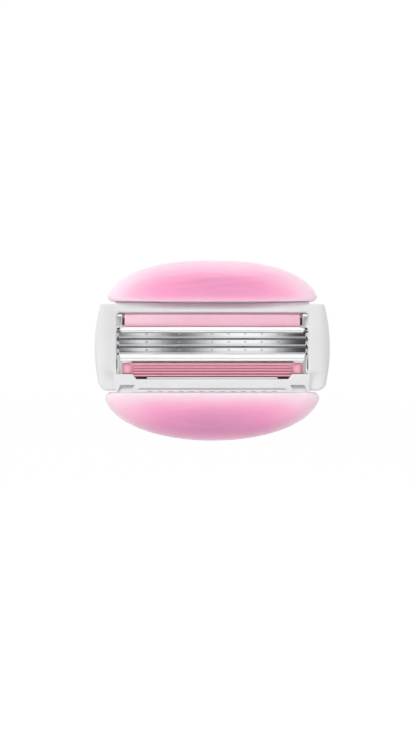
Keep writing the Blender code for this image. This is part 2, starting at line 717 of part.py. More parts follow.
def outer_frame(head):
    """The outer frame: a ring that holds the housing, with hinge ears for the two trays."""
    shape = prism(frame_outline(), "y", FRAME_FRONT, FRAME_BACK)
    round_edges(shape, FRAME_EDGE_ROUND, 3, lambda co: co.y < FRAME_FRONT + OVERLAP)
    made = piece("outer_frame", shape, WHITE, head)
    ledge_front = FRAME_FRONT + LEDGE_SET_BACK
    join(made, box(
        (-LEDGE_HALF, ledge_front, END_TOP - OVERLAP), (LEDGE_HALF, FRAME_BACK, FRAME_TOP)
    ))
    join(made, box(
        (-LEDGE_HALF, ledge_front, FRAME_BOTTOM), (LEDGE_HALF, FRAME_BACK, END_BOTTOM + OVERLAP)
    ))
    cut(made, prism(window_outline(), "y", FRAME_FRONT - OVERCUT, FRAME_BACK + OVERCUT))
    cut(made, box(
        (-POCKET_HALF, FRAME_INNER, POCKET_BOTTOM), (POCKET_HALF, FRAME_BACK + OVERCUT, POCKET_TOP)
    ))
    cut(made, box(
        (-WINDOW_HALF, FRAME_FRONT - OVERCUT, WINDOW_TOP - OVERLAP),
        (WINDOW_HALF, ledge_front, FRAME_TOP + OVERCUT),
    ))
    add_sill_grooves(made)
    for sign in (1, -1):
        add_snap_lips(made, sign)
        add_hinge_ears(made, sign)
        add_leaf_pockets(made, sign)
    return made


def add_sill_grooves(frame):
    """The long groove and the two end pockets along the front of the lower rail."""
    groove_low = FRAME_BOTTOM + GROOVE_RISE
    groove_high = groove_low + GROOVE_HEIGHT
    end = WINDOW_HALF - POCKET_END_GAP
    start = end - POCKET_LENGTH
    half = start - POCKET_GAP - GROOVE_HEIGHT
    groove = [
        (-half - GROOVE_HEIGHT, groove_low), (half + GROOVE_HEIGHT, groove_low),
        (half, groove_high), (-half, groove_high),
    ]
    floor = FRAME_FRONT + GROOVE_DEPTH
    cut(frame, prism(groove, "y", FRAME_FRONT - OVERCUT, floor))
    pocket = [
        (start, FRAME_BOTTOM - OVERCUT), (end, FRAME_BOTTOM - OVERCUT),
        (end, FRAME_BOTTOM + POCKET_HEIGHT), (start + GROOVE_HEIGHT, FRAME_BOTTOM + POCKET_HEIGHT),
        (start, FRAME_BOTTOM),
    ]
    both_sides(cut, frame, prism(pocket, "y", FRAME_FRONT - OVERCUT, floor))


def place_in_z(shape, sign):
    """The shape as drawn for the upper side, or mirrored to the lower side."""
    return shape if sign > 0 else mirrored(shape, "z")


def rail_edges(sign):
    """Distance of the frame's outer edge and of its pocket from the middle, above or below."""
    return (FRAME_TOP, POCKET_TOP) if sign > 0 else (-FRAME_BOTTOM, -POCKET_BOTTOM)


def add_snap_lips(frame, sign):
    """Lips that snap over the back of the housing."""
    edge, pocket = rail_edges(sign)
    back = HOUSING_BACK + SEAT_GAP
    lip = box(
        (SNAP_X - SNAP_WIDTH / 2, back, pocket - SNAP_REACH),
        (SNAP_X + SNAP_WIDTH / 2, back + SNAP_DEPTH, (pocket + edge) / 2),
    )
    both_sides(join, frame, place_in_z(lip, sign))


def hinge_height(sign):
    return rail_edges(sign)[0] - HINGE_DROP


def add_hinge_ears(frame, sign):
    """Two pairs of ears, each with a bore for the pins of a tray's lug."""
    height = hinge_height(sign)
    bore = HINGE_PIN_RADIUS + HINGE_PLAY
    radius = bore + HINGE_EAR_WALL
    side = [(FRAME_BACK - OVERLAP, height + radius), (FRAME_BACK - OVERLAP, height)]
    side += arc((HINGE_Y, height), radius, 180, 450, 18)
    inner = HINGE_LUG_WIDTH / 2 + SWING_GAP
    for way in (1, -1):
        start, end = sorted((HINGE_X + way * inner, HINGE_X + way * (inner + HINGE_EAR_WIDTH)))
        both_sides(join, frame, place_in_z(prism(side, "x", start, end), sign))
    reach = inner + HINGE_EAR_WIDTH + OVERLAP
    hole = rod(HINGE_X - reach, HINGE_X + reach, bore, height, HINGE_Y)
    both_sides(cut, frame, place_in_z(hole, sign))


def leaf_root(sign):
    """Bottom and top of a leaf spring's root, in the middle of the frame's rail."""
    edge, pocket = rail_edges(sign)
    middle = (edge + pocket) / 2
    return middle - LEAF_ROOT_HEIGHT / 2, middle + LEAF_ROOT_HEIGHT / 2


def add_leaf_pockets(frame, sign):
    """Pockets in the back of the rail that hold the roots of the leaf springs."""
    low, high = leaf_root(sign)
    half = LEAF_WIDTH / 2 + SNUG_GAP
    pocket = box(
        (LEAF_X - half, FRAME_BACK - LEAF_ROOT_DEPTH - SNUG_GAP, low - SNUG_GAP),
        (LEAF_X + half, FRAME_BACK + OVERCUT, high + SNUG_GAP),
    )
    both_sides(cut, frame, place_in_z(pocket, sign))


def wing_spring(name, sign, side, head):
    """A leaf spring from the frame's back to the back of a tray."""
    low, high = leaf_root(sign)
    edge = rail_edges(sign)[0]
    foot = FRAME_BACK + SEAT_GAP
    tip = edge + LEAF_RISE
    tip_front = TRAY_BACK + SEAT_GAP
    section = [
        (FRAME_BACK - LEAF_ROOT_DEPTH, low), (foot + LEAF_THICKNESS, low),
        (foot + LEAF_THICKNESS, edge + LEAF_THICKNESS), (tip_front + LEAF_TIP_THICKNESS, tip),
        (tip_front, tip), (foot, edge + LEAF_THICKNESS / 2), (foot, high),
        (FRAME_BACK - LEAF_ROOT_DEPTH, high),
    ]
    shape = prism(section, "x", LEAF_X - LEAF_WIDTH / 2, LEAF_X + LEAF_WIDTH / 2)
    shape = place_in_z(shape, sign)
    if side == "left":
        shape = mirrored(shape, "x")
    return piece(f"{name}_wing_spring_{side}", shape, WHITE, head)


def bar_outline(half, depth, power, inset, inner_inset):
    """Outline of a gel bar in (x, z), straight along the frame and bowed outwards, drawn in by an inset."""
    a, b = half - inset, depth - inset
    corner = max(BAR_CORNER - inner_inset, BAR_CORNER / 4)

    def half_width(height):
        return a * max(0, 1 - (height / b) ** power) ** (1 / power)

    start = inner_inset + corner
    centre = (half_width(start) - corner, start)
    right = arc(centre, corner, -90, 0, BAR_CORNER_POINTS)
    steps = BAR_ARC_POINTS // 2
    first = math.asin(min(1, (start / b) ** (power / 2)))
    for k in range(1, steps + 1):
        turn = first + (math.pi / 2 - first) * k / steps
        right.append((a * math.cos(turn) ** (2 / power), b * math.sin(turn) ** (2 / power)))
    right[-1] = (0, b)
    left = [(-x, z) for x, z in reversed(right[:-1])]
    return right + left


def bar_levels():
    """(depth y, inset) of each level of a gel bar, from its back to its crown."""
    levels = []
    for k in range(BAR_RIM_LEVELS + 1):
        turn = math.pi / 2 * k / BAR_RIM_LEVELS
        levels.append((BAR_BACK - BAR_RIM * math.sin(turn) ** 2, BAR_RIM / 2 * (1 - math.sin(turn))))
    rise = BAR_BACK - BAR_RIM + BAR_PROUD
    for k in range(1, BAR_CROWN_LEVELS + 1):
        turn = math.pi / 2 * k / BAR_CROWN_LEVELS
        levels.append((BAR_BACK - BAR_RIM - rise * math.sin(turn), BAR_CROWN_RUN * (1 - math.cos(turn))))
    return levels


def gel_bar_shape(half, depth, power, edge):
    """A crowned bar lofted through its levels, with its straight side at the height of edge."""
    shape = bmesh.new()
    rings = []
    for y, inset in bar_levels():
        outline = bar_outline(half, depth, power, inset, inset * BAR_INNER_RUN_SHARE)
        rings.append([shape.verts.new((x, y, edge + z)) for x, z in outline])
    for ring, after in zip(rings, rings[1:]):
        count = len(ring)
        for k in range(count):
            shape.faces.new((ring[k], ring[(k + 1) % count], after[(k + 1) % count], after[k]))
    for ring in (rings[0], rings[-1]):
        shape.faces.new(ring)
    bmesh.ops.triangulate(shape, faces=[f for f in shape.faces if len(f.verts) > 4])
    return tidy(shape)


def bar_numbers(sign):
    """Half width, depth, power and distance of the straight side of the upper or the lower gel bar."""
    if sign > 0:
        return UPPER_BAR_HALF, UPPER_BAR_DEPTH, UPPER_BAR_POWER, FRAME_TOP + UPPER_BAR_GAP
    return LOWER_BAR_HALF, LOWER_BAR_DEPTH, LOWER_BAR_POWER, LOWER_BAR_GAP - FRAME_BOTTOM


def plug_places(sign):
    """(x, z) of the plugs by which a gel bar is cast through its tray."""
    edge = bar_numbers(sign)[3]
    middle = (BAR_PLUG_COUNT - 1) / 2
    return [((k - middle) * BAR_PLUG_PITCH, edge + BAR_PLUG_RISE) for k in range(BAR_PLUG_COUNT)]


def gel_bar(name, sign, wing):
    """A gel bar, cast through the holes of its tray."""
    shape = place_in_z(gel_bar_shape(*bar_numbers(sign)), sign)
    made = piece(f"{name}_gel_bar", shape, GEL, wing, wing["head_point"])
    for place in plug_places(sign):
        stud = plug(place, BAR_PLUG_RADIUS, BAR_BACK - BAR_PLUG_SINK, TRAY_BACK - SEAT_GAP)
        join(made, place_in_z(stud, sign))
    return made


def hinge_arm(sign):
    """Section in (y, z) of the arm that reaches from a tray over the frame's edge to its hinge."""
    edge = rail_edges(sign)[0]
    height = hinge_height(sign)
    boss = HINGE_BACK - SWING_GAP
    low = edge + HINGE_ARM_GAP
    high = low + HINGE_ARM_HEIGHT
    front = HINGE_Y - boss
    return [
        (TRAY_FRONT, low), (front, low), *arc((HINGE_Y, height), boss, 180, 360, 12),
        (HINGE_Y + boss, low + HINGE_ARM_GAP), (TRAY_BACK, high), (TRAY_FRONT, high),
    ]


def bar_tray(name, sign, wing):
    """The plate behind a gel bar, with its cast holes and its two hinged arms."""
    half_width, depth, power, edge = bar_numbers(sign)
    outline = bar_outline(half_width, depth, power, TRAY_INSET, TRAY_INNER_INSET)
    plate = prism([(x, edge + z) for x, z in outline], "y", TRAY_FRONT, TRAY_BACK)
    made = piece(f"{name}_tray", place_in_z(plate, sign), WHITE, wing, wing["head_point"])
    half = HINGE_LUG_WIDTH / 2
    arm = prism(hinge_arm(sign), "x", HINGE_X - half, HINGE_X + half)
    both_sides(join, made, place_in_z(arm, sign))
    reach = half + SWING_GAP + HINGE_EAR_WIDTH
    pin = rod(HINGE_X - reach, HINGE_X + reach, HINGE_PIN_RADIUS, hinge_height(sign), HINGE_Y)
    both_sides(join, made, place_in_z(pin, sign))
    for place in plug_places(sign):
        hole = plug(place, BAR_PLUG_RADIUS + SNUG_GAP, TRAY_FRONT - OVERCUT, TRAY_BACK + OVERCUT)
        cut(made, place_in_z(hole, sign))
    return made


def round_rectangle(width, height, radius):
    """Outline in (x, z) of a rectangle with round corners, centred on the origin."""
    x, z = width / 2 - radius, height / 2 - radius
    corners = [((x, z), 0), ((-x, z), 90), ((-x, -z), 180), ((x, -z), 270)]
    return [p for place, turn in corners for p in arc(place, radius, turn, turn + 90, 4)]


def yoke():
    """The yoke: a socket for a handle, a cross bar, and two arms whose pins carry the head."""
    outer_width = SOCKET_WIDTH + 2 * SOCKET_WALL
    outer_height = SOCKET_HEIGHT + 2 * SOCKET_WALL
    shell = prism(
        round_rectangle(outer_width, outer_height, SOCKET_ROUND + SOCKET_WALL), "y",
        -SOCKET_FLOOR, SOCKET_DEPTH,
    )
    made = piece("yoke", shell, WHITE, None)
    cross = box(
        (-YOKE_SPAN / 2, -SOCKET_FLOOR, -ARM_RADIUS), (YOKE_SPAN / 2, -SEAT_GAP, ARM_RADIUS)
    )
    join(made, cross)
    inner = YOKE_SPAN / 2 - ARM_WIDTH
    side = [(-OVERLAP, ARM_RADIUS), *arc((-ARM_LENGTH, 0), ARM_RADIUS, 90, 270, 10)]
    side.append((-OVERLAP, -ARM_RADIUS))
    both_sides(join, made, prism(side, "x", inner, YOKE_SPAN / 2))
    start = YOKE_SPAN / 2 - OVERLAP
    pin = rod(start, YOKE_SPAN / 2 + PIVOT_PIN_LENGTH, PIVOT_PIN_RADIUS, 0, -ARM_LENGTH)
    both_sides(join, made, pin)
    cavity = round_rectangle(SOCKET_WIDTH, SOCKET_HEIGHT, SOCKET_ROUND)
    cut(made, prism(cavity, "y", 0, SOCKET_DEPTH + OVERCUT))
    slot_low = PLUNGER_SLOT_RISE - PLUNGER_SLOT_HEIGHT / 2
    slot_high = PLUNGER_SLOT_RISE + PLUNGER_SLOT_HEIGHT / 2
    cut(made, box(
        (-PLUNGER_SLOT_WIDTH / 2, -SOCKET_FLOOR - OVERCUT, slot_low),
        (PLUNGER_SLOT_WIDTH / 2, OVERCUT, slot_high),
    ))
    latch_start = SOCKET_DEPTH - LATCH_INSET - LATCH_WIDTH / 2
    latch = box(
        (SOCKET_WIDTH / 2 - OVERCUT, latch_start, -LATCH_HEIGHT / 2),
        (outer_width / 2 + OVERCUT, latch_start + LATCH_WIDTH, LATCH_HEIGHT / 2),
    )
    both_sides(cut, made, latch)
    return made


def build():
    yoke()
    head = empty_at("head", HEAD_PLACE)
    outer_frame(head)
    blade_housing(head)
    lubricating_strip(head)
    guard_fins(head)
    for side in ("left", "right"):
        blade_clip(side, head)
    for number in range(1, BLADE_COUNT + 1):
        blade_strip(number, head)
        blade_support(number, head)
        for side in ("left", "right"):
            blade_finger(number, side, head)
    for name, sign in (("upper", 1), ("lower", -1)):
        axis = Vector((0, HINGE_Y, sign * hinge_height(sign)))
        wing = empty_at(f"{name}_wing", axis, head)
        wing["head_point"] = tuple(axis)
        gel_bar(name, sign, wing)
        bar_tray(name, sign, wing)
        for side in ("left", "right"):
            wing_spring(name, sign, side, head)


clear_scene()
PIECES = new_collection("razor_cartridge")
CUTTERS = new_collection("cutters")
build()
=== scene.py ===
"""Studio scene of a razor cartridge, laid out as an add-on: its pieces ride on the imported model."""

import math
from typing import NamedTuple

import bmesh
import bpy
from bpy.props import FloatProperty, FloatVectorProperty, IntProperty, PointerProperty
from mathutils import Matrix, Vector


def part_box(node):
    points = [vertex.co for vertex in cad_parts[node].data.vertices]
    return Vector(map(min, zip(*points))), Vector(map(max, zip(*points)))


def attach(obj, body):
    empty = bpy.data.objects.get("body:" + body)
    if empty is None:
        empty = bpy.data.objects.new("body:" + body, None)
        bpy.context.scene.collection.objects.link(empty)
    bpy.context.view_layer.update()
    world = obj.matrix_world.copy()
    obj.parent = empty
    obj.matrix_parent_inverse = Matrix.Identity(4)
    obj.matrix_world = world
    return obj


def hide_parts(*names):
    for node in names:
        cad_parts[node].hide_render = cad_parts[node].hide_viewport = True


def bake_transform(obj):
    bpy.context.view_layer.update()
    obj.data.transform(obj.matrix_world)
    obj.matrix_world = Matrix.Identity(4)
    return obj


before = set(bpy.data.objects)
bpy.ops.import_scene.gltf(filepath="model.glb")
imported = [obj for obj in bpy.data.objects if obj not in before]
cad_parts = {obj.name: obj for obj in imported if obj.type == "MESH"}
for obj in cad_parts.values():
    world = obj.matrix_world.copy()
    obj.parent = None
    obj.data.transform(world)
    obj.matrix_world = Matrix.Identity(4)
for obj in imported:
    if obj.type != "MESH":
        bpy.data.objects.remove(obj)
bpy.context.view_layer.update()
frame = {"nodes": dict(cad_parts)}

bl_info = {
    "name": "Razor Cartridge",
    "version": (1, 0, 0),
    "blender": (4, 5, 0),
    "location": "3D View > Sidebar > Cartridge",
    "description": "Dresses the packed razor cartridge and sets up its studio",
    "category": "Add Mesh",
}

MM = 0.001

# The head's frame starts at the middle of the second blade's edge: x right, y back and z up
HEAD = Vector((0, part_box("blade_strip_2")[0][1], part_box("blade_strip_2")[0][2]))


def mm(*values):
    """Lengths in metres, given in millimetres."""
    return tuple(value * MM for value in values)


def mm_points(*points):
    """Points in metres, given in millimetres."""
    return [mm(*point) for point in points]


def head_box(node):
    """The two corners of a CAD node's box, in the head's frame."""
    low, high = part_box(node)
    return Vector(low) - HEAD, Vector(high) - HEAD


FRAME_LOW, FRAME_HIGH = head_box("outer_frame")
FRAME_HALF, FRAME_TOP = FRAME_HIGH.x, FRAME_HIGH.z
FRAME_FRONT, FRAME_BOTTOM = FRAME_LOW.y, FRAME_LOW.z
FRAME_BACK = 4.60 * MM
WINDOW_HALF, WINDOW_TOP, WINDOW_BOTTOM = mm(17.98, 6.383, -6.05)
POCKET_HALF, POCKET_TOP, POCKET_BOTTOM, POCKET_FRONT = mm(19.46, 7.103, -6.77, 0.38)
LEDGE_HALF = 18.20 * MM
END_TOP, END_BOTTOM = FRAME_TOP - 0.40 * MM, FRAME_BOTTOM + 0.10 * MM
HINGE_DROP, HINGE_Y = mm(1.15, 5.50)
BLADE_TILT = math.radians(21.5)
BLADE_EDGES = mm(1.5, 0, -1.5)
GAP_FLOOR = 1.60 * MM
OVERLAP = 0.3 * MM  # of shapes that are joined
MERGE = MM / 5000  # points closer than this become one


# Settings


def shade(red, green, blue):
    """Linear colour of a display colour given in 0 to 255."""
    channels = (red / 255, green / 255, blue / 255)
    return tuple(c / 12.92 if c <= 0.04045 else ((c + 0.055) / 1.055) ** 2.4 for c in channels)


def colour(name, description, *display):
    """A setting for a colour, whose default is a display colour."""
    return FloatVectorProperty(
        name=name, description=description, default=shade(*display), subtype="COLOR",
        size=3, min=0, max=1,
    )


def length(name, description, default):
    """A setting for a length in metres."""
    return FloatProperty(
        name=name, description=description, default=default, unit="LENGTH", precision=5
    )


def number_of(name, description, default):
    """A setting for a number of like shapes."""
    return IntProperty(name=name, description=description, default=default, min=1)


class GelBarSettings(bpy.types.PropertyGroup):
    """Sizes and colours of the two gel bars"""

    rim: length("Rim", "Depth of the round edge at the back of a bar", 0.80 * MM)
    crown_run: length("Crown run", "How far the crown reaches in from the bowed side", 3.30 * MM)
    corner: length("Corner", "Radius of the two corners of a bar", 1.10 * MM)
    seam: length("Seam", "Depth of the seam line near the tips", 0.08 * MM)
    ripple: length("Ripple", "Depth of the soft ripples on the crown", 0.045 * MM)
    rim_colour: colour("Rim", "Gel where it is thin", 254, 226, 236)
    body_colour: colour("Body", "Gel of middling thickness", 255, 193, 217)
    deep_colour: colour("Deep", "Gel where it is thick", 255, 168, 205)
    # Partly painted shade: the lower tint darkens the down-facing lower part of the lower bar
    upper_tint: colour("Upper middle", "Tint in the middle of the upper bar", 234, 235, 241)
    lower_tint: colour("Lower middle", "Tint in the middle of the lower bar", 213, 217, 227)


class FrameSettings(bpy.types.PropertyGroup):
    """Sizes of the outer frame"""

    bulge_radius: length("Bulge radius", "Radius of the bowed ends", 30.0 * MM)
    top_round: length("Top corner", "Radius of the upper corners", 0.60 * MM)
    bottom_round: length("Bottom corner", "Radius of the lower corners", 1.90 * MM)
    end_fall: length("End fall", "How far the front falls back at the ends", 1.10 * MM)
    inner_fall: length("Inner fall", "How far the ends fall back towards the window", 0.40 * MM)
    valley: length("Valley", "Depth of the soft valley low down on the ends", 0.55 * MM)
    slot_pitch: length("Slot pitch", "Distance between the drain slots of the sill", 1.94 * MM)
    slot_depth: length("Slot depth", "Depth of the drain slots", 0.26 * MM)
    slot_count: number_of("Slots", "Drain slots along the sill", 13)


class PlasticSettings(bpy.types.PropertyGroup):
    """The white moulded plastic"""

    light: colour("Housing", "Plastic of the housing", 253, 253, 253)
    body: colour("Body", "Plastic of the frame, the trays and the yoke", 226, 226, 227)


class BladeSettings(bpy.types.PropertyGroup):
    """Sizes and colours of the blades and their clips"""

    width: length("Strip width", "Width of a strip from edge to back", 1.60 * MM)
    rise: length("Edge rise", "How far the edges lie up the slope from their CAD lines", 0.17 * MM)
    belly: length("Belly", "How far the flat stands out from the ground bevel", 0.021 * MM)
    thickness: length("Thickness", "Thickness of a strip", 0.10 * MM)
    bevel: length("Ground bevel", "Width of the ground bevel", 0.30 * MM)
    wave: length("Bevel wave", "How far the ground line wanders", 0.05 * MM)
    spot_pitch: length("Spot pitch", "Distance between weld spots", 3.08 * MM)
    spot_count: number_of("Spots", "Weld spots of each blade", 9)
    steel: colour("Steel", "Polished strip", 216, 217, 219)
    spot: colour("Weld", "Weld spot", 204, 205, 207)
    support: colour("Support", "Bent support", 226, 228, 230)
    clip: colour("Clip", "Aluminium clip", 214, 215, 217)


class GuardSettings(bpy.types.PropertyGroup):
    """Sizes and colours of the lubricating strip and the guard fins"""

    fin_count: number_of("Fins", "Fins below the blades", 5)
    fin_pitch: length("Fin pitch", "Distance between fins", 0.52 * MM)
    fin_depth: length("Fin depth", "Depth of a fin", 0.40 * MM)
    fin_tip: colour("Fin tip", "Elastomer at the tip of a fin", 234, 174, 189)
    # Painted shade: the darker colour between the fins stands for the shade in the grooves
    fin_groove_shade: colour("Fin root", "Elastomer between fins", 198, 130, 147)
    strip: colour("Strip", "Lubricating strip", 231, 185, 202)
    strip_pale: colour("Pale end", "Paler left end of the strip", 241, 202, 216)
    strip_low: colour("Strip edge", "Deeper pink along the strip's lower edge", 232, 170, 193)


class StageSettings(bpy.types.PropertyGroup):
    """Camera, lamps and floor"""

    lens: FloatProperty(
        name="Lens", description="Focal length of the camera", default=135.0, unit="CAMERA"
    )
    distance: length("Distance", "From the camera to the blades", 0.515)
    floor: length("Floor", "Height of the floor", -0.075)
    ambient: FloatProperty(
        name="Ambient", description="Strength of the soft light all round", default=0.40, min=0,
        subtype="FACTOR",
    )
    key: FloatProperty(
        name="Key", description="Power of the key lamp", default=1.25, unit="POWER"
    )
    fill: FloatProperty(
        name="Fill", description="Power of a side lamp", default=0.58, unit="POWER"
    )
    floor_colour: colour("Floor", "Pale floor", 226, 226, 227)


class CartridgeSettings(bpy.types.PropertyGroup):
    """All settings of the cartridge"""

    gel: PointerProperty(type=GelBarSettings)
    frame: PointerProperty(type=FrameSettings)
    plastic: PointerProperty(type=PlasticSettings)
    blade: PointerProperty(type=BladeSettings)
    guard: PointerProperty(type=GuardSettings)
    stage: PointerProperty(type=StageSettings)


# Shapes


def smooth(low, high, value):
    """0 below low, 1 above high, and a soft step between them."""
    t = min(1, max(0, (value - low) / (high - low)))
    return t * t * (3 - 2 * t)


def eased(count, low, high):
    """Values from low to high, closer together at both ends."""
    return [low + (high - low) * (1 - math.cos(math.pi * k / count)) / 2 for k in range(count + 1)]


def rounded_drop(distance, radius):
    """How far a round edge falls back at a distance from the rim."""
    if distance >= radius:
        return 0
    return radius - math.sqrt(max(0, radius**2 - (radius - distance) ** 2))


def arc(centre, radius, start, end, count):
    """Points along an arc, with its angles in degrees."""
    turns = [math.radians(start + (end - start) * k / count) for k in range(count + 1)]
    return [(centre[0] + radius * math.cos(t), centre[1] + radius * math.sin(t)) for t in turns]


def circle(centre, radius, count):
    """Points round a circle."""
    return arc(centre, radius, 0, 360, count)[:-1]


def tidy(shape):
    """Merges a bmesh's doubles and turns its faces outwards."""
    bmesh.ops.remove_doubles(shape, verts=shape.verts, dist=MERGE)
    bmesh.ops.recalc_face_normals(shape, faces=shape.faces)
    if shape.calc_volume(signed=True) < 0:
        bmesh.ops.reverse_faces(shape, faces=shape.faces)
    return shape


def bridge(shape, ring, after):
    """Joins two rings of points by a band of faces."""
    for k in range(len(ring)):
        n = (k + 1) % len(ring)
        shape.faces.new((ring[k], ring[n], after[n], after[k]))


def loft(rings):
    """A skin over rings of points, closed at both ends."""
    shape = bmesh.new()
    made = [[shape.verts.new(point) for point in ring] for ring in rings]
    for ring, after in zip(made, made[1:]):
        bridge(shape, ring, after)
    shape.faces.new(made[0])
    shape.faces.new(made[-1])
    return tidy(shape)


def prism(outline, along, start, end):
    """An outline in the two other axes, drawn out along x, y or z."""
    axis = "xyz".index(along)
    return loft([[(*p[:axis], depth, *p[axis:]) for p in outline] for depth in (start, end)])


def block(low, high):
    """A block between two corners."""
    low, high = Vector(low), Vector(high)
    shape = bmesh.new()
    place = Matrix.Translation((low + high) / 2) @ Matrix.Diagonal((*(high - low), 1))
    bmesh.ops.create_cube(shape, size=1, matrix=place)
    return shape


def slab(rows, front, back):
    """A closed block between two skins. Rows hold (x, z), and front and back give y there."""
    shape = bmesh.new()
    rims = []
    for skin in (front, back):
        grid = [[shape.verts.new((x, skin(x, z), z)) for x, z in row] for row in rows]
        for row, after in zip(grid, grid[1:]):
            for k in range(len(row) - 1):
                shape.faces.new((row[k], row[k + 1], after[k + 1], after[k]))
        right, left = [row[-1] for row in grid[1:]], [row[0] for row in grid[-2:0:-1]]
        rims.append(grid[0] + right + grid[-1][-2::-1] + left)
    bridge(shape, *rims)
    return tidy(shape)


def soften(shape, width, steps=2, angle=30, chosen=lambda co: True):
    """Rounds the sharp edges that have room for it."""
    room = 2.4 * width
    open_verts = {v for v in shape.verts if all(e.calc_length() > room for e in v.link_edges)}
    edges = [
        e for e in shape.edges
        if e.calc_face_angle(0) > math.radians(angle)
        and all(v in open_verts and chosen(v.co) for v in e.verts)
    ]
    bmesh.ops.bevel(
        shape, geom=edges, offset=width, segments=steps, profile=0.5, affect="EDGES",
        clamp_overlap=True,
    )
    return shape


def mirrored(shape, axis):
    """A copy of a shape on the other side of x or z."""
    copy = shape.copy()
    flip = Matrix.Diagonal((-1, 1, 1, 1) if axis == "x" else (1, 1, -1, 1))
    bmesh.ops.transform(copy, matrix=flip, verts=copy.verts)
    bmesh.ops.reverse_faces(copy, faces=copy.faces)
    return copy


def both(shape):
    """The shape and its mirror image across the middle."""
    return [shape, mirrored(shape, "x")]


def work_object(name, shape):
    """A new object with the mesh of a shape, which is used up."""
    mesh = bpy.data.meshes.new(name)
    shape.to_mesh(mesh)
    shape.free()
    made = bpy.data.objects.new(name, mesh)
    bpy.context.scene.collection.objects.link(made)
    return made


def plain_mesh(made):
    """Makes an object's evaluated shape its own mesh, and takes its modifiers off."""
    graph = bpy.context.evaluated_depsgraph_get()
    mesh = bpy.data.meshes.new_from_object(made.evaluated_get(graph), depsgraph=graph)
    made.modifiers.clear()
    made.data = mesh
    return made


def used_up(made):
    """The shape of an object, which is removed."""
    shape = bmesh.new()
    shape.from_mesh(made.data)
    bpy.data.objects.remove(made)
    return shape


def carve(shape, joins=(), cuts=()):
    """The shape with others joined to it, and then others cut from it."""
    target = work_object("carved", shape)
    tools = []
    for operation, others in (("UNION", joins), ("DIFFERENCE", cuts)):
        for other in others:
            tools.append(work_object("tool", other))
            change = target.modifiers.new(operation, "BOOLEAN")
            change.operation = operation
            change.solver = "EXACT"
            change.object = tools[-1]
    result = used_up(plain_mesh(target))
    for tool in tools:
        bpy.data.objects.remove(tool)
    bmesh.ops.remove_doubles(result, verts=result.verts, dist=MERGE)
    bmesh.ops.dissolve_degenerate(result, edges=result.edges, dist=MERGE)
    # A Boolean can leave a sliver open
    bmesh.ops.holes_fill(result, edges=[e for e in result.edges if e.is_boundary], sides=4)
    return result


def cad_copy(node):
    """A merged copy of a CAD node's mesh, with its flat faces made whole."""
    shape = bmesh.new()
    shape.from_mesh(frame["nodes"][node].data)
    bmesh.ops.remove_doubles(shape, verts=shape.verts, dist=MM / 2000)
    bmesh.ops.dissolve_limit(
        shape, angle_limit=math.radians(0.6), verts=shape.verts, edges=shape.edges
    )
    return shape


# Nodes


def feed(tree, socket, value):
    """Links a socket to an input of a node, or sets the input's value."""
    if isinstance(value, bpy.types.NodeSocket):
        tree.links.new(value, socket)
    elif socket.type == "RGBA":
        socket.default_value = (*tuple(value)[:3], 1)
    else:
        socket.default_value = value


def add(tree, kind, inputs=None, **settings):
    """A new node with its settings and its inputs."""
    made = tree.nodes.new(kind)
    for key, value in settings.items():
        setattr(made, key, value)
    for key, value in (inputs or {}).items():
        feed(tree, made.inputs[key], value)
    return made


def repeat_tree():
    """The node tree that repeats a shape along a straight line."""
    name = "repeat_along_line"
    tree = bpy.data.node_groups.get(name)
    if tree:
        return tree
    tree = bpy.data.node_groups.new(name, "GeometryNodeTree")
    for socket, kind in (
        ("Shape", "Geometry"), ("Count", "Int"), ("Start", "Vector"), ("Step", "Vector"),
        ("Finish", "Material"),
    ):
        tree.interface.new_socket(socket, in_out="INPUT", socket_type=f"NodeSocket{kind}")
    tree.interface.new_socket("Shape", in_out="OUTPUT", socket_type="NodeSocketGeometry")
    given = tree.nodes.new("NodeGroupInput").outputs
    line = add(tree, "GeometryNodeMeshLine", {
        "Count": given["Count"], "Start Location": given["Start"], "Offset": given["Step"],
    })
    spread = add(tree, "GeometryNodeInstanceOnPoints", {
        "Points": line.outputs["Mesh"], "Instance": given["Shape"],
    })
    real = add(tree, "GeometryNodeRealizeInstances", {"Geometry": spread.outputs["Instances"]})
    paint = add(tree, "GeometryNodeSetMaterial", {
        "Geometry": real.outputs["Geometry"], "Material": given["Finish"],
    })
    add(tree, "NodeGroupOutput", {"Shape": paint.outputs["Geometry"]})
    return tree


def repeated(name, shape, count, start, step, finish=None):
    """An object with a shape repeated along a line by Geometry Nodes, as a plain mesh."""
    made = work_object(name, shape)
    change = made.modifiers.new("repeat", "NODES")
    change.node_group = repeat_tree()
    values = {"Count": count, "Start": tuple(start), "Step": tuple(step), "Finish": finish}
    for socket in change.node_group.interface.items_tree:
        if socket.in_out == "INPUT" and socket.name in values:
            change[socket.identifier] = values[socket.name]
    return plain_mesh(made)


def centred_row(name, shape, count, pitch, middle, finish=None):
    """A shape repeated along x, with the middle of its row at a place."""
    start = Vector(middle) - Vector((pitch * (count - 1) / 2, 0, 0))
    return repeated(name, shape, count, start, (pitch, 0, 0), finish)


# Pieces


def place_piece(made, body, finish=None, nodes=(), sharp=38):
    """Finishes a piece's mesh, and makes it ride on its body in place of CAD nodes."""
    if finish:
        made.data.materials.clear()
        made.data.materials.append(finish)
    made.data.shade_smooth()
    made.data.set_sharp_from_angle(angle=math.radians(sharp))
    if nodes:
        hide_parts(*nodes)
    if body:
        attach(made, body)
    return made


def head_piece(name, shape, body, finish, nodes=(), sharp=38):
    """A piece drawn in the head's frame."""
    bmesh.ops.translate(shape, verts=shape.verts, vec=HEAD)
    return place_piece(work_object(name, shape), body, finish, nodes, sharp)


def softened_piece(name, node, body, finish, width, steps=2, joins=(), cuts=()):
    """A CAD node with its edges rounded, after more is joined to it or cut from it."""
    shape = cad_copy(node)
    if joins or cuts:
        for tool in (*joins, *cuts):
            bmesh.ops.translate(tool, verts=tool.verts, vec=HEAD)
        shape = carve(shape, joins, cuts)
    soften(shape, width, steps)
    return place_piece(work_object(name, shape), body, finish, [node])


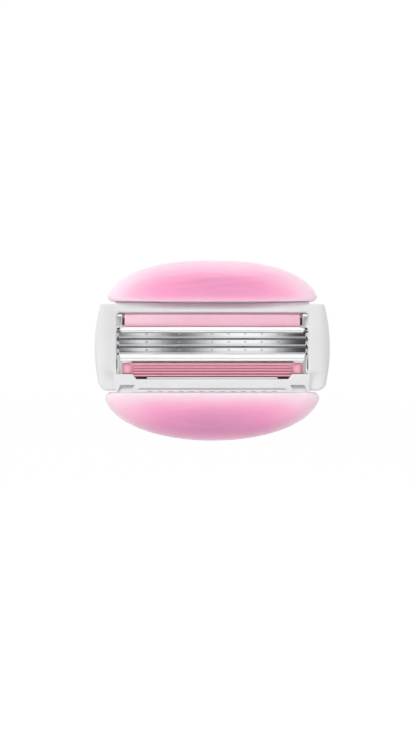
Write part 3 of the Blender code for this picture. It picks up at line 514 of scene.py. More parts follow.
def carry(made, name, value_at):
    """Stores a value at each point of a mesh, worked out from its place in the head's frame."""
    store = made.data.attributes.new(name, "FLOAT", "POINT")
    for vert, held in zip(made.data.vertices, store.data):
        held.value = value_at(vert.co - HEAD)


# Finishes

FINISHES = {}


def new_finish(name):
    """A new node material, its tree and its shader."""
    made = FINISHES[name] = bpy.data.materials.new(name)
    made.use_nodes = True
    return made, made.node_tree, made.node_tree.nodes["Principled BSDF"]


def set_shader(tree, shader, **values):
    """Sets or links inputs of the shader. An underscore stands for a space."""
    for key, value in values.items():
        feed(tree, shader.inputs[key.replace("_", " ")], value)


def toned(tone, share):
    """A colour made darker or paler."""
    return tuple(min(1, channel * share) for channel in tone)


def object_place(tree, stretch=(1, 1, 1)):
    """Object coordinates, stretched along the axes."""
    place = add(tree, "ShaderNodeTexCoord").outputs["Object"]
    return add(tree, "ShaderNodeMapping", {"Vector": place, "Scale": stretch}).outputs["Vector"]


def object_axes(tree):
    """The separate outputs X, Y and Z of the object coordinates."""
    return add(tree, "ShaderNodeSeparateXYZ", {"Vector": object_place(tree)}).outputs


def grain(tree, scale, detail=2.0, stretch=(1, 1, 1)):
    """A soft random pattern with a size of about one over scale."""
    place = object_place(tree, stretch)
    noise = add(tree, "ShaderNodeTexNoise", {"Vector": place, "Scale": scale, "Detail": detail})
    return noise.outputs["Fac"]


def span(tree, value, low, high, start=0.0, end=1.0):
    """A value from start to end, mapped to low to high."""
    mapped = add(tree, "ShaderNodeMapRange", {
        "Value": value, "From Min": start, "From Max": end, "To Min": low, "To Max": high,
    })
    return mapped.outputs["Result"]


def varied(tree, pattern, low, high):
    """A random pattern, most of which lies between 0.3 and 0.7, mapped to low to high."""
    return span(tree, pattern, low, high, 0.3, 0.7)


def combined(tree, operation, first, second):
    """Two values put together by a Math node."""
    return add(tree, "ShaderNodeMath", {0: first, 1: second}, operation=operation).outputs[0]


def mixed(tree, share, first, second, blend="MIX"):
    """A colour between two colours or colour sockets, or the first one tinted by the second."""
    inputs = {0: share, 6: first, 7: second}
    mix = add(tree, "ShaderNodeMix", inputs, data_type="RGBA", blend_type=blend)
    return mix.outputs[2]


def graded(tree, share, stops, interpolation="LINEAR"):
    """A colour that runs through stops, each a place from 0 to 1 and a colour."""
    ramp = add(tree, "ShaderNodeValToRGB", {"Fac": share})
    ramp.color_ramp.interpolation = interpolation
    elements = ramp.color_ramp.elements
    elements.remove(elements[1])
    for k, (place, tone) in enumerate(stops):
        stop = elements.new(place) if k else elements[0]
        stop.position, stop.color = place, (*tone, 1)
    return ramp.outputs["Color"]


def bumped(tree, height, distance, strength):
    """A normal that follows a height."""
    inputs = {"Height": height, "Distance": distance, "Strength": strength}
    return add(tree, "ShaderNodeBump", inputs).outputs["Normal"]


def carried(tree, name):
    """A value that the mesh carries at its points."""
    return add(tree, "ShaderNodeAttribute", attribute_name=name).outputs["Fac"]


def plastic_finish(settings, tone="light"):
    """White moulded plastic: a faint flow in its tone, and the fine grain of its mould."""
    name = f"moulded_white_{tone}"
    if name in FINISHES:
        return FINISHES[name]
    made, tree, shader = new_finish(name)
    # Painted shade: near black for the floors of deep notches, where the mesh marks them
    pale, recess = getattr(settings, tone), (0.03, 0.03, 0.03)
    flow = varied(tree, grain(tree, 160, 3, (0.5, 1, 1)), 0, 1)
    surface = mixed(tree, flow, pale, toned(pale, 0.95))
    set_shader(
        tree, shader,
        Base_Color=mixed(tree, carried(tree, "recess"), surface, recess),
        Roughness=varied(tree, grain(tree, 420, 3), 0.30, 0.42),
        Normal=bumped(tree, grain(tree, 5200), 0.004 * MM, 0.5),
        Subsurface_Weight=0.12,
        Subsurface_Radius=(1, 0.95, 0.9),
        Subsurface_Scale=0.4 * MM,
        Specular_IOR_Level=0.45,
        Coat_Weight=0.30,
        Coat_Roughness=0.20,
    )
    return made


def gel_finish(settings, name, tint):
    """Translucent gel: pale where thin, deep pink where thick, cooler in the middle.

    A pale band of painted light runs along the straight side, and the cooler middle is
    partly painted shade.
    """
    made, tree, shader = new_finish(name)
    cloud = varied(tree, grain(tree, 260, 3), -0.03, 0.03)
    # The gel's depth, and painted light as a pale band along the straight side
    depth_and_light = combined(tree, "ADD", carried(tree, "gel_depth"), cloud)
    pink = graded(tree, depth_and_light, (
        (0.0, settings.rim_colour), (0.5, settings.body_colour), (1.0, settings.deep_colour),
    ))
    set_shader(
        tree, shader,
        # Partly painted shade: the tint cools and darkens the middle of the bar
        Base_Color=mixed(tree, carried(tree, "gel_middle"), pink, tint, "MULTIPLY"),
        Roughness=varied(tree, grain(tree, 700, 3), 0.30, 0.42),
        Normal=bumped(tree, grain(tree, 2600), 0.004 * MM, 0.5),
        Subsurface_Weight=0.60,
        Subsurface_Radius=(1.0, 0.6, 0.75),
        Subsurface_Scale=2.2 * MM,
        Specular_IOR_Level=0.4,
        Coat_Weight=0.50,
        Coat_Roughness=0.12,
    )
    return made


def steel_finish(name, tone, rough, spread=0.02, lines=0.0015 * MM):
    """Bright metal with fine lines along its length."""
    if name in FINISHES:
        return FINISHES[name]
    made, tree, shader = new_finish(name)
    ground = grain(tree, 1.0, 3, (140, 16000, 16000))
    cloud = varied(tree, grain(tree, 300, 3, (0.4, 1, 1)), 0, 1)
    set_shader(
        tree, shader,
        Base_Color=mixed(tree, cloud, tone, toned(tone, 0.9)),
        Metallic=1.0,
        Roughness=varied(tree, ground, rough - spread, rough + spread),
        Normal=bumped(tree, ground, lines, 0.3),
    )
    return made


def strip_finish(settings):
    """Pressed lubricant: matt, powdery, deeper pink along its lower edge and paler at one end."""
    made, tree, shader = new_finish("pressed_lubricant")
    powder = grain(tree, 3600, 4)
    flow = span(tree, grain(tree, 240, 3, (0.3, 1, 1)), 0, 0.35, 0.35, 0.7)
    fade = span(tree, object_axes(tree)["X"], 1, 0, *mm(-15, -4))
    faded = mixed(tree, fade, settings.strip, settings.strip_pale)
    tone = mixed(tree, carried(tree, "strip_edge"), faded, settings.strip_low)
    set_shader(
        tree, shader,
        Base_Color=mixed(tree, flow, tone, toned(settings.strip, 1.06)),
        Roughness=varied(tree, powder, 0.42, 0.6),
        Normal=bumped(tree, powder, 0.006 * MM, 0.6),
        Subsurface_Weight=0.15,
        Subsurface_Radius=(1, 0.6, 0.7),
        Subsurface_Scale=0.5 * MM,
    )
    return made


def rubber_finish(settings):
    """Rose elastomer, darkened by painted shade from the tips of the fins into the grooves."""
    made, tree, shader = new_finish("rose_rubber")
    dust = grain(tree, 1800, 3)
    # Painted shade: the pale tip colour gives way to the darker groove colour with depth
    unshaded_share = combined(tree, "ADD", carried(tree, "fin_height"), varied(tree, dust, -0.1, 0.1))
    set_shader(
        tree, shader,
        Base_Color=mixed(tree, unshaded_share, settings.fin_groove_shade, settings.fin_tip),
        Roughness=varied(tree, dust, 0.38, 0.55),
        Normal=bumped(tree, grain(tree, 4200, 3), 0.005 * MM, 0.6),
        Subsurface_Weight=0.1,
        Subsurface_Radius=(1, 0.5, 0.55),
        Subsurface_Scale=0.4 * MM,
    )
    return made


# Gel bars


class GelBar(NamedTuple):
    """The outline of a gel bar, where its gel looks deep, and where light and shade are painted"""

    sign: int  # 1 above the blades, and -1 below them
    half: float  # half of its length
    depth: float  # from its straight side to the top of its bow
    powers: tuple  # powers of the bow's curve, along and across the bar
    edge: float  # from the middle blade's edge to the straight side
    bow: float  # how far the ends of the straight side curve away
    bow_run: tuple  # distances from the bow over which the gel gets deeper
    flat_light_run: tuple  # from the straight side, over which the gel deepens out of painted light
    # The tint is partly painted shade: low on the lower bar, and right of middle on the upper
    tint_x: float  # middle of the tint along the bar
    tint_width: float  # how far the tint spreads from there
    tint_run: tuple  # shares of the depth over which the tint begins
    tint_end: tuple  # shares of the depth over which it ends


BARS = {
    "upper": GelBar(
        sign=1, half=FRAME_HALF - 2.20 * MM, depth=7.91 * MM, powers=(2.5, 1.85),
        edge=8.335 * MM, bow=0.16 * MM, bow_run=mm(-2.2, 6.2), flat_light_run=mm(-0.6, 1.5),
        tint_x=2.5 * MM, tint_width=10.5 * MM, tint_run=(-0.10, 0.25), tint_end=(0.50, 0.85),
    ),
    "lower": GelBar(
        sign=-1, half=FRAME_HALF - 1.84 * MM, depth=9.10 * MM, powers=(2.06, 2.06),
        edge=8.53 * MM, bow=0, bow_run=mm(-1.6, 2.4), flat_light_run=mm(-0.5, 4.2),
        tint_x=0, tint_width=15.0 * MM, tint_run=(0.06, 0.68), tint_end=(0.74, 1.12),
    ),
}
BAR_BACK, BAR_PROUD = mm(2.70, 0.90)
RIM_STEPS, CROWN_STEPS, RIDGE_STEPS = 6, 32, 8
BOW_STEPS, FLAT_STEPS = 84, 120
FLAT_SHARE = 0.07  # how far the straight side is drawn in, as a share of the bow's inset
PLUG_HEIGHT, PLUG_PITCH, PLUG_COUNT = 3.6 * MM, 4.0 * MM, 7


def bar_corner(bar, inset, inner, corner):
    """Centre and radius of the round corner of a bar's outline, drawn in by an inset."""
    a, b, (p, q) = bar.half - inset, bar.depth - inset, bar.powers
    corner = min(max(corner - inner, corner / 4), (b - inner) / 3)
    start = inner + corner
    return (a * (1 - (start / b) ** q) ** (1 / p) - corner, start), corner


def bar_ring(bar, inset, inner, corner):
    """Outline of a gel bar in (x, z) from its straight side, drawn in by an inset."""
    a, b, (p, q) = bar.half - inset, bar.depth - inset, bar.powers
    centre, corner = bar_corner(bar, inset, inner, corner)
    right = arc(centre, corner, -90, 0, 8)
    first = math.asin(min(1, (centre[1] / b) ** (q / 2)))
    for k in range(1, BOW_STEPS):
        turn = first + (math.pi / 2 - first) * k / BOW_STEPS
        right.append((a * max(0, math.cos(turn)) ** (2 / p), b * math.sin(turn) ** (2 / q)))
    left = [(-x, z) for x, z in reversed(right)]
    end = right[0][0]
    flat = [(-end + 2 * end * k / FLAT_STEPS, inner) for k in range(1, FLAT_STEPS)]
    return right + [(0, b)] + left + flat


def ripple_height(x, z, depth):
    """Height, from about -1 to 1, of the soft ripples across the middle of a bar."""
    wave, wave_run, width = mm(0.5, 2.3, 0.34)
    height = 0
    for k, level in enumerate((0.36, 0.50, 0.64)):
        line = depth * level + wave * math.sin(x / wave_run + 1.1 * k)
        g = (z - line) / width
        height += 2.2 * g * math.exp(-g * g)
    return height * (1 - smooth(*mm(6.0, 11.5), abs(x)))


def bar_levels(settings):
    """(depth y, inset, inner inset) of each level of a bar, from its back to its crown's ridge."""
    rim = settings.rim
    rise = BAR_BACK - rim + BAR_PROUD
    levels = []
    for k in range(RIM_STEPS + 1):
        turn = math.pi / 2 * k / RIM_STEPS
        inset = rim / 2 * (1 - math.sin(turn))
        levels.append((BAR_BACK - rim * math.sin(turn) ** 2, inset, inset * FLAT_SHARE))
    for k in range(1, CROWN_STEPS + 1):
        turn = math.pi / 2 * k / CROWN_STEPS
        inset = settings.crown_run * (1 - math.cos(turn))
        levels.append((BAR_BACK - rim - rise * math.sin(turn), inset, inset * FLAT_SHARE))
    return levels


def ridge_rings(bar, corner, ring, inset, inner):
    """Rings that close the plateau of the crown along a ridge in its middle."""
    a, b, (p, q) = bar.half - inset, bar.depth - inset, bar.powers
    centre, corner = bar_corner(bar, inset, inner, corner)

    def ridge(x):
        high = b * max(0, 1 - (abs(x) / a) ** p) ** (1 / q)
        past = max(0, abs(x) - centre[0])
        foot = centre[1] - math.sqrt(max(0, corner**2 - past**2))
        return (foot + max(high, foot)) / 2

    shares = [k / (RIDGE_STEPS + 0.2) for k in range(1, RIDGE_STEPS + 1)]
    return [[(x, y, z + (ridge(x) - z) * share) for x, y, z in ring] for share in shares]


def gel_bar_shape(bar, settings):
    """A gel bar: a round rim, and a crown with soft ripples and a seam line near its tips."""
    seam_inset, seam_width = mm(0.55, 0.16)
    ripple_sink = 1.2  # keeps the tops of the ripples below the crown
    levels = bar_levels(settings)
    rings = [
        [(x, y, z) for x, z in bar_ring(bar, inset, inner, settings.corner)]
        for y, inset, inner in levels
    ]
    rings += ridge_rings(bar, settings.corner, rings[-1], *levels[-1][1:])
    placed = []
    for n, ring in enumerate(rings):
        inset = levels[min(n, len(levels) - 1)][1]
        front = smooth(*mm(0.5, 1.6), inset) if n > RIM_STEPS else 0
        seam = math.exp(-(((inset - seam_inset) / seam_width) ** 2)) if n > RIM_STEPS else 0
        row = []
        for x, y, z in ring:
            y += settings.seam * seam * smooth(0.5, 0.85, abs(x) / bar.half)
            y -= settings.ripple * front * (ripple_height(x, z, bar.depth) - ripple_sink)
            z += bar.bow * (x / bar.half) ** 2 * (1 - z / bar.depth)
            row.append((x, max(y, -BAR_PROUD), bar.sign * (bar.edge + z)))
        placed.append(row)
    return loft(placed)


def gel_thickness(bar, co):
    """How thick the gel looks from the front at a point: 0 at its rim and 1 deep inside.

    Near the straight side the value is kept low to paint light: a highlight along the upper
    bar's lower edge, and light on the top of the lower bar.
    """
    a, b, (p, q) = bar.half, bar.depth, bar.powers
    x, z = abs(co.x), max(bar.sign * co.z - bar.edge, 0)
    f = (x / a) ** p + (z / b) ** q
    slope = math.hypot(p / a * (x / a) ** (p - 1), q / b * (z / b) ** (q - 1))
    from_bow = max(0, (1 - f) / max(slope, 1e-6))
    tips = 1 - 0.65 * smooth(*mm(8.5, 19), x)
    return smooth(*bar.bow_run, from_bow) * smooth(*bar.flat_light_run, z) * tips


def gel_middle(bar, co):
    """How near a point is to the middle of a bar, tinted partly as painted shade, from 0 to 1."""
    z = (bar.sign * co.z - bar.edge) / bar.depth
    across = math.exp(-(((co.x - bar.tint_x) / bar.tint_width) ** 2))
    return across * smooth(*bar.tint_run, z) * (1 - smooth(*bar.tint_end, z))


class CARTRIDGE_OT_gel_bars(bpy.types.Operator):
    """Make the two gel bars and the plugs that hold them in their trays"""

    bl_idname = "cartridge.gel_bars"
    bl_label = "Gel Bars"

    def execute(self, context):
        settings = context.scene.cartridge.gel
        for name, bar in BARS.items():
            finish = gel_finish(settings, f"{name}_gel", getattr(settings, f"{name}_tint"))
            made = head_piece(
                f"{name}_bar", gel_bar_shape(bar, settings), f"{name}_wing", finish,
                [f"{name}_gel_bar"], sharp=50,
            )
            # Painted light: a pale band along the straight side, carried with the gel's depth
            carry(made, "gel_depth", lambda co: gel_thickness(bar, co))
            carry(made, "gel_middle", lambda co: gel_middle(bar, co))
            middle = HEAD + Vector((0, 0, bar.sign * (bar.edge + PLUG_HEIGHT)))
            plugs = centred_row(
                f"{name}_bar_plugs", self.plug_shape(), PLUG_COUNT, PLUG_PITCH, middle, finish
            )
            carry(plugs, "gel_depth", lambda co: 0.75)
            place_piece(plugs, f"{name}_wing")
        return {"FINISHED"}

    def plug_shape(self):
        """A cast plug that shows at the back of a tray, with a round edge and a shallow dimple."""
        profile = mm_points((0.90, 2.40), (0.90, 3.68), (0.78, 3.80), (0.25, 3.72))
        return loft([[(x, y, z) for x, z in circle((0, 0), r, 28)] for r, y in profile])


# Outer frame


def end_edge(settings, height):
    """Half width of the frame's bowed end at a height."""
    middle = (END_TOP + END_BOTTOM) / 2
    centre = FRAME_HALF - settings.bulge_radius

    def bulge(z):
        return centre + math.sqrt(settings.bulge_radius**2 - (z - middle) ** 2)

    for start, radius, way in (
        (END_TOP - settings.top_round, settings.top_round, 1),
        (END_BOTTOM + settings.bottom_round, settings.bottom_round, -1),
    ):
        over = way * (height - start)
        if over > 0:
            return bulge(start) - radius + math.sqrt(max(0, radius**2 - over**2))
    return bulge(height)


def end_block(settings):
    """One end of the frame: a block that falls away from its crown to the side and the window."""
    crown, low_fall = mm(20.2, 0.03)
    side_round, top_round, foot_round, window_round, back_round = mm(0.55, 0.40, 0.60, 0.14, 0.35)
    rows = [
        [(x, z) for x in eased(30, WINDOW_HALF, end_edge(settings, z))]
        for z in eased(46, END_BOTTOM, END_TOP)
    ]

    def front(x, z):
        inside = end_edge(settings, z) - x
        drop = math.hypot(
            rounded_drop(inside, side_round), rounded_drop(END_TOP - z, top_round),
            rounded_drop(z - END_BOTTOM, foot_round),
            rounded_drop(x - WINDOW_HALF, window_round) * smooth(*mm(-5.6, -5.0), z),
        )
        if x > crown:
            fall = settings.end_fall * ((x - crown) / (FRAME_HALF - crown)) ** 1.8
        else:
            inner = low_fall + (settings.inner_fall - low_fall) * smooth(*mm(-5.2, -3.2), z)
            fall = inner * ((crown - x) / (crown - WINDOW_HALF)) ** 1.6
        valley = smooth(*mm(0.4, 3.0), inside) * (1 - smooth(*mm(3.0, 3.9), inside))
        valley *= smooth(*mm(4.1, 5.7), -z) * (1 - 0.3 * smooth(*mm(5.9, 7.8), -z))
        return FRAME_FRONT + fall + drop + settings.valley * valley

    def back(x, z):
        return FRAME_BACK - math.hypot(
            rounded_drop(end_edge(settings, z) - x, back_round),
            rounded_drop(END_TOP - z, back_round), rounded_drop(z - END_BOTTOM, back_round),
        )

    return slab(rows, front, back)


def upper_rail():
    """The upper rail: its front runs back under the upper bar in a cove, shallow at the ends."""
    bar = BARS["upper"]
    deep = mm_points(
        (0.10, 6.76), (0.14, 6.88), (0.24, 7.06), (0.46, 7.31), (0.74, 7.55), (1.04, 7.77),
        (1.36, 7.99), (1.64, 8.22),
    )
    shallow = mm_points(
        (0.06, 6.76), (0.06, 6.88), (0.06, 7.06), (0.08, 7.32), (0.11, 7.58), (0.16, 7.82),
        (0.24, 8.05), (0.38, 8.26),
    )
    edge_round, steps = 0.34 * MM, 60
    round_edge = arc((0.44 * MM, WINDOW_TOP + edge_round), edge_round, 270, 180, 6)
    top, chamfer = FRAME_TOP + 0.015 * MM, 0.3 * MM
    back = [
        (3.00 * MM, top), (FRAME_BACK - 2 * chamfer, top), (FRAME_BACK - chamfer, FRAME_TOP),
        (FRAME_BACK, FRAME_TOP - chamfer),
    ]
    rings = []
    for k in range(steps + 1):
        x = LEDGE_HALF * (2 * k - steps) / steps
        share = smooth(*mm(5.0, 16.5), abs(x))
        low = [(y - 0.04 * MM * share, z) for y, z in round_edge]
        cove = [
            (y + (flat_y - y) * share, z + (flat_z - z) * share)
            for (y, z), (flat_y, flat_z) in zip(deep, shallow)
        ]
        brim = bar.edge - 0.03 * MM + bar.bow * (x / bar.half) ** 2
        shelf = [((1.74 - 1.14 * share) * MM, brim), (2.86 * MM, brim)]
        section = [(FRAME_BACK, WINDOW_TOP), *low, *cove, *shelf, *back]
        rings.append([(x, y, z) for y, z in section])
    return loft(rings)


def lower_rails():
    """The lower rail, stepped up at the window's corners, its rear and the rib below the fins."""
    step, foot, slope, rib_half = mm(-5.10, 14.98, 0.75, 12.2)
    edge, front = FRAME_BOTTOM - 0.16 * MM, FRAME_FRONT + 0.03 * MM
    right = [(foot - slope, WINDOW_BOTTOM), (foot, step), (LEDGE_HALF, step), (LEDGE_HALF, edge)]
    outline = right + [(-x, z) for x, z in reversed(right)]
    shape = prism(outline, "y", front, FRAME_BACK - 0.6 * MM)
    # The lower face rises towards the back
    for vert in shape.verts:
        if vert.co.z < FRAME_BOTTOM:
            vert.co.z += -0.08 * MM if vert.co.y < 0 else 0.07 * MM
    near, low = front + OVERLAP, WINDOW_BOTTOM - 0.1 * MM
    soften(shape, 0.34 * MM, steps=5, angle=25, chosen=lambda co: co.y < near and co.z > low)
    soften(shape, 0.05 * MM, angle=25, chosen=lambda co: co.y < near and co.z < FRAME_BOTTOM)
    half = LEDGE_HALF - 0.04 * MM
    rear = block((-half, FRAME_BACK - MM, FRAME_BOTTOM), (half, FRAME_BACK, WINDOW_BOTTOM))
    rib_side = mm_points(
        (0.25, -6.30), (0.34, -6.30), (0.34, -5.70), (0.14, -5.70), (0.00, -5.92), (0.03, -5.96),
        (0.25, -5.96),
    )
    return [shape, rear, prism(rib_side, "x", -rib_half, rib_half)]


def sill_cuts(settings):
    """The long groove, the two end pockets and the row of drain slots along the lower rail."""
    near, floor = FRAME_FRONT - OVERLAP, FRAME_FRONT + 0.40 * MM
    low, high = FRAME_BOTTOM + 0.32 * MM, FRAME_BOTTOM + 0.62 * MM
    low_half, high_half = mm(13.9, 13.5)
    groove = [(-low_half, low), (low_half, low), (high_half, high), (-high_half, high)]
    top, foot = FRAME_BOTTOM + 1.20 * MM, FRAME_BOTTOM - 0.40 * MM
    corners = [(14.60 * MM, top), (17.25 * MM, top), (17.86 * MM, foot), (15.45 * MM, foot)]
    pocket = prism(corners, "y", near, floor)
    # Its floor is deep at the top, and runs out at the lower edge
    for vert in pocket.verts:
        if vert.co.y > FRAME_FRONT:
            vert.co.y += 0.55 * MM if vert.co.z > FRAME_BOTTOM else -0.20 * MM
    slot_half, below, above = mm(0.42, 0.13, 0.09)
    slot = block(
        (-slot_half, near, FRAME_BOTTOM - below),
        (slot_half, FRAME_FRONT + settings.slot_depth, FRAME_BOTTOM + above),
    )
    slots = centred_row("drain_slots", slot, settings.slot_count, settings.slot_pitch, (0, 0, 0))
    return [prism(groove, "y", near, floor), *both(pocket), used_up(slots)]


def window_corners():
    """The fillets in the upper corners of the window."""
    radius, over = mm(0.55, 0.1)
    x, z = WINDOW_HALF - radius, WINDOW_TOP - radius
    far_x, far_z = WINDOW_HALF + over, WINDOW_TOP + over
    outline = [(x, far_z), *arc((x, z), radius, 90, 0, 8), (far_x, z), (far_x, far_z)]
    return both(prism(outline, "y", FRAME_FRONT + 0.25 * MM, POCKET_FRONT - 0.02 * MM))


def rear_details(edge, pocket):
    """A snap lip and hinge ears to join behind a rail, and a bore and a spring pocket to cut there.

    All are drawn for the right half of the upper rail.
    """
    height, middle = edge - HINGE_DROP, (pocket + edge) / 2
    ear_radius, bore_radius, spring_half = mm(0.98, 0.63, 0.36)
    lip = block((2.9 * MM, 4.44 * MM, pocket - 0.40 * MM), (5.9 * MM, 4.89 * MM, middle))
    soften(lip, 0.08 * MM)
    ear_side = [(FRAME_BACK - OVERLAP, height + ear_radius), (FRAME_BACK - OVERLAP, height)]
    ear_side += arc((HINGE_Y, height), ear_radius, 180, 450, 36)
    ears = [prism(ear_side, "x", low, low + 1.2 * MM) for low in mm(12.40, 15.50)]
    for ear in ears:
        soften(ear, 0.1 * MM, angle=60)
    bore = prism(circle((HINGE_Y, height), bore_radius, 36), "x", *mm(12.0, 17.0))
    spring_pocket = block(
        (8.54 * MM, 3.59 * MM, middle - spring_half), (11.46 * MM, 6 * MM, middle + spring_half)
    )
    return [lip, *ears], [bore, spring_pocket]


class CARTRIDGE_OT_outer_frame(bpy.types.Operator):
    """Make the white ring with its bowed ends, rails, ears and drain slots"""

    bl_idname = "cartridge.outer_frame"
    bl_label = "Outer Frame"

    def execute(self, context):
        settings = context.scene.cartridge.frame
        right = end_block(settings)
        hollow = block(
            (-POCKET_HALF, POCKET_FRONT, POCKET_BOTTOM),
            (POCKET_HALF, FRAME_BACK + 3 * MM, POCKET_TOP),
        )
        shape = carve(
            right, [mirrored(right, "x"), upper_rail(), *lower_rails(), *window_corners()],
            [hollow, *sill_cuts(settings)],
        )
        joins, cuts = [], []
        for edge, pocket, below in (
            (FRAME_TOP, POCKET_TOP, False), (-FRAME_BOTTOM, -POCKET_BOTTOM, True)
        ):
            for tools, kept in zip(rear_details(edge, pocket), (joins, cuts)):
                for tool in tools:
                    kept += both(mirrored(tool, "z") if below else tool)
        finish = plastic_finish(context.scene.cartridge.plastic, "body")
        head_piece(
            "frame_ring", carve(shape, joins, cuts), "head", finish,
            ["outer_frame"],
        )
        return {"FINISHED"}


# Housing, trays, yoke, springs and clips, which follow their CAD nodes


class CARTRIDGE_OT_blade_housing(bpy.types.Operator):
    """Make the housing that holds the blades"""

    bl_idname = "cartridge.blade_housing"
    bl_label = "Blade Housing"

    def execute(self, context):
        finish = plastic_finish(context.scene.cartridge.plastic)
        made = softened_piece(
            "housing", "blade_housing", "head", finish, 0.06 * MM,
            joins=self.joins(), cuts=self.cuts(),
        )
        # Painted shade: the notch floors past the blade ends are painted near black
        carry(made, "recess", self.recess)
        return {"FINISHED"}

    def joins(self):
        """The plates above the first blade and below the last, and the shelves of the pads."""
        step = mm_points((0.26, 2.98), (0.13, 2.83), (0.13, 2.79), (0.38, 2.79), (0.38, 2.98))
        lip_step = carve(
            block(mm(-17.0, 0.37, 2.93), mm(17.0, 0.46, 3.30)),
            [prism(step, "x", *mm(-17.0, 17.0))],
        )
        guard_top = block(mm(-17.2, 0.14, -1.80), mm(17.2, 0.60, -1.38))
        pad_shelf = block(mm(15.22, 0.55, -3.02), mm(16.95, 1.60, -2.50))
        return [lip_step, guard_top, *both(pad_shelf)]

    def cuts(self):
        """The slots and notches at both sides, and the grooves and slopes across the front."""
        strip_slot = block(mm(16.44, -1, 4.05), mm(16.94, 4.0, 6.08))
        side_slit = block(mm(17.80, -1, -4.20), mm(18.10, 3.2, -2.30))
        sill_slot = block(mm(12.30, 1, -6.02), mm(14.30, 3.6, -5.55))
        bracket = mm_points((17.06, -1), (18.0, -1), (18.0, 0.90), (17.85, 0.90), (17.06, 1.70))
        bracket_slope = prism(bracket, "z", *mm(3.90, 5.70))
        fin_slot = block(mm(-15.05, 1, -3.20), mm(15.05, 2.6, -2.70))
        lip_top = block(mm(-16.44, -1, 3.73), mm(16.44, 1.30, 4.10))
        lip_recess = block(mm(-17.55, 0.50, 3.0), mm(17.55, 1.30, 3.25))
        slopes = [
            prism([(-MM, high), (high_y, high), (low_y, low), (-MM, low)], "x", *mm(-20, 20))
            for low_y, high_y, low, high in mm_points(
                (-0.02, 0.14, -2.00, -1.45), (0.06, 0.22, -2.62, -2.16), (0.08, 0.30, 3.12, 3.90)
            )
        ]
        sides = (strip_slot, side_slit, sill_slot, bracket_slope, *self.end_gaps())
        return [
            *(tool for cut in sides for tool in both(cut)), fin_slot, lip_top, lip_recess, *slopes
        ]

    def end_gaps(self):
        """The deep notches past the ends of the lip and the blades."""
        inner, outer, height, slant, below = mm(17.32, 17.86, 0.54, 0.1, 0.04)
        lows = (3.12 * MM, *(edge - below for edge in BLADE_EDGES))
        return [
            prism([
                (inner, low), (outer, low), (outer, low + height * 0.7),
                (inner + slant, low + height),
            ], "y", -MM, GAP_FLOOR)
            for low in lows
        ]

    def recess(self, co):
        """Painted shade: 1 on the notch floors past the ends of the blades, and 0 elsewhere."""
        beside = 17.25 * MM < abs(co.x) < 17.92 * MM and -2 * MM < co.z < 4 * MM
        return 1 if beside and abs(co.y - GAP_FLOOR) < 0.02 * MM else 0


class CARTRIDGE_OT_trays(bpy.types.Operator):
    """Make the two trays behind the gel bars"""

    bl_idname = "cartridge.trays"
    bl_label = "Trays"

    def execute(self, context):
        finish = plastic_finish(context.scene.cartridge.plastic, "body")
        for name, bar in BARS.items():
            softened_piece(
                f"{name}_carrier", f"{name}_tray", f"{name}_wing", finish,
                0.10 * MM, cuts=[self.pockets(bar)],
            )
        return {"FINISHED"}

    def pockets(self, bar):
        """Shallow pockets in the back, which leave a rim, ribs and a boss round each plug."""
        back, depth, rib_half, boss_radius = mm(3.84, 0.35, 0.25, 1.45)
        inset, inner, corner = mm(1.70, 2.30, 1.0)
        edge, reach = bar.edge, PLUG_COUNT // 2
        ring = bar_ring(bar, inset, inner, corner)
        pocket = prism([(x, edge + z) for x, z in ring], "y", back - depth, back + MM)
        near, far = back - MM, back + 2 * MM
        kept = [
            prism(circle((PLUG_PITCH * k, edge + PLUG_HEIGHT), boss_radius, 32), "y", near, far)
            for k in range(-reach, reach + 1)
        ]
        for x in mm(2, 6, 10, 14):
            high = edge + 10 * MM
            kept += both(block((x - rib_half, near, edge), (x + rib_half, far, high)))
        # The leaf spring presses here
        kept += both(block((8.3 * MM, near, edge), (11.7 * MM, far, edge + 4.8 * MM)))
        shape = carve(pocket, (), kept)
        return shape if bar.sign > 0 else mirrored(shape, "z")


class CARTRIDGE_OT_yoke(bpy.types.Operator):
    """Make the yoke with the socket for a handle"""

    bl_idname = "cartridge.yoke"
    bl_label = "Yoke"

    def execute(self, context):
        finish = plastic_finish(context.scene.cartridge.plastic, "body")
        softened_piece(
            "socket_yoke", "yoke", "yoke_body", finish, 0.12 * MM, steps=3,
            cuts=[self.lead_in(), *self.grooves()],
        )
        return {"FINISHED"}

    def lead_in(self):
        """The sloping edge round the mouth of the socket."""
        middle, x, z = mm(-2.5, 4.3, 1.4)
        corners = (((x, z), 0), ((-x, z), 90), ((-x, -z), 180), ((x, -z), 270))
        rings = []
        for y, radius in mm_points((15.75, 1.2), (16.45, 1.62)):
            ring = [p for place, turn in corners for p in arc(place, radius, turn, turn + 90, 8)]
            rings.append([(px, y, middle + pz) for px, pz in ring])
        return loft(rings)

    def grooves(self):
        """Grip grooves across the top and the bottom of the socket."""
        half, radius = mm(4.2, 0.25)
        cuts = []
        for low, high in mm_points((1.0, 1.6), (-6.6, -6.0)):
            for y in mm(12.0, 13.1, 14.2):
                ring = arc((half, y), radius, -90, 90, 8) + arc((-half, y), radius, 90, 270, 8)
                cuts.append(prism(ring, "z", low, high))
        return cuts


class CARTRIDGE_OT_springs(bpy.types.Operator):
    """Make the leaf springs and the blade fingers"""

    bl_idname = "cartridge.springs"
    bl_label = "Springs"

    def execute(self, context):
        finish = plastic_finish(context.scene.cartridge.plastic, "body")
        for side, way in (("left", -1), ("right", 1)):
            for name, bar in BARS.items():
                node = f"{name}_wing_spring_{side}"
                made = softened_piece(
                    f"{name}_leaf_{side}", node, None, finish, 0.06 * MM
                )
                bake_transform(made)
            for number in (1, 2, 3):
                node = f"blade_finger_{number}_{side}"
                made = softened_piece(
                    f"finger_{number}_{side}", node, None, finish, 0.05 * MM
                )
                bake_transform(made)
        return {"FINISHED"}


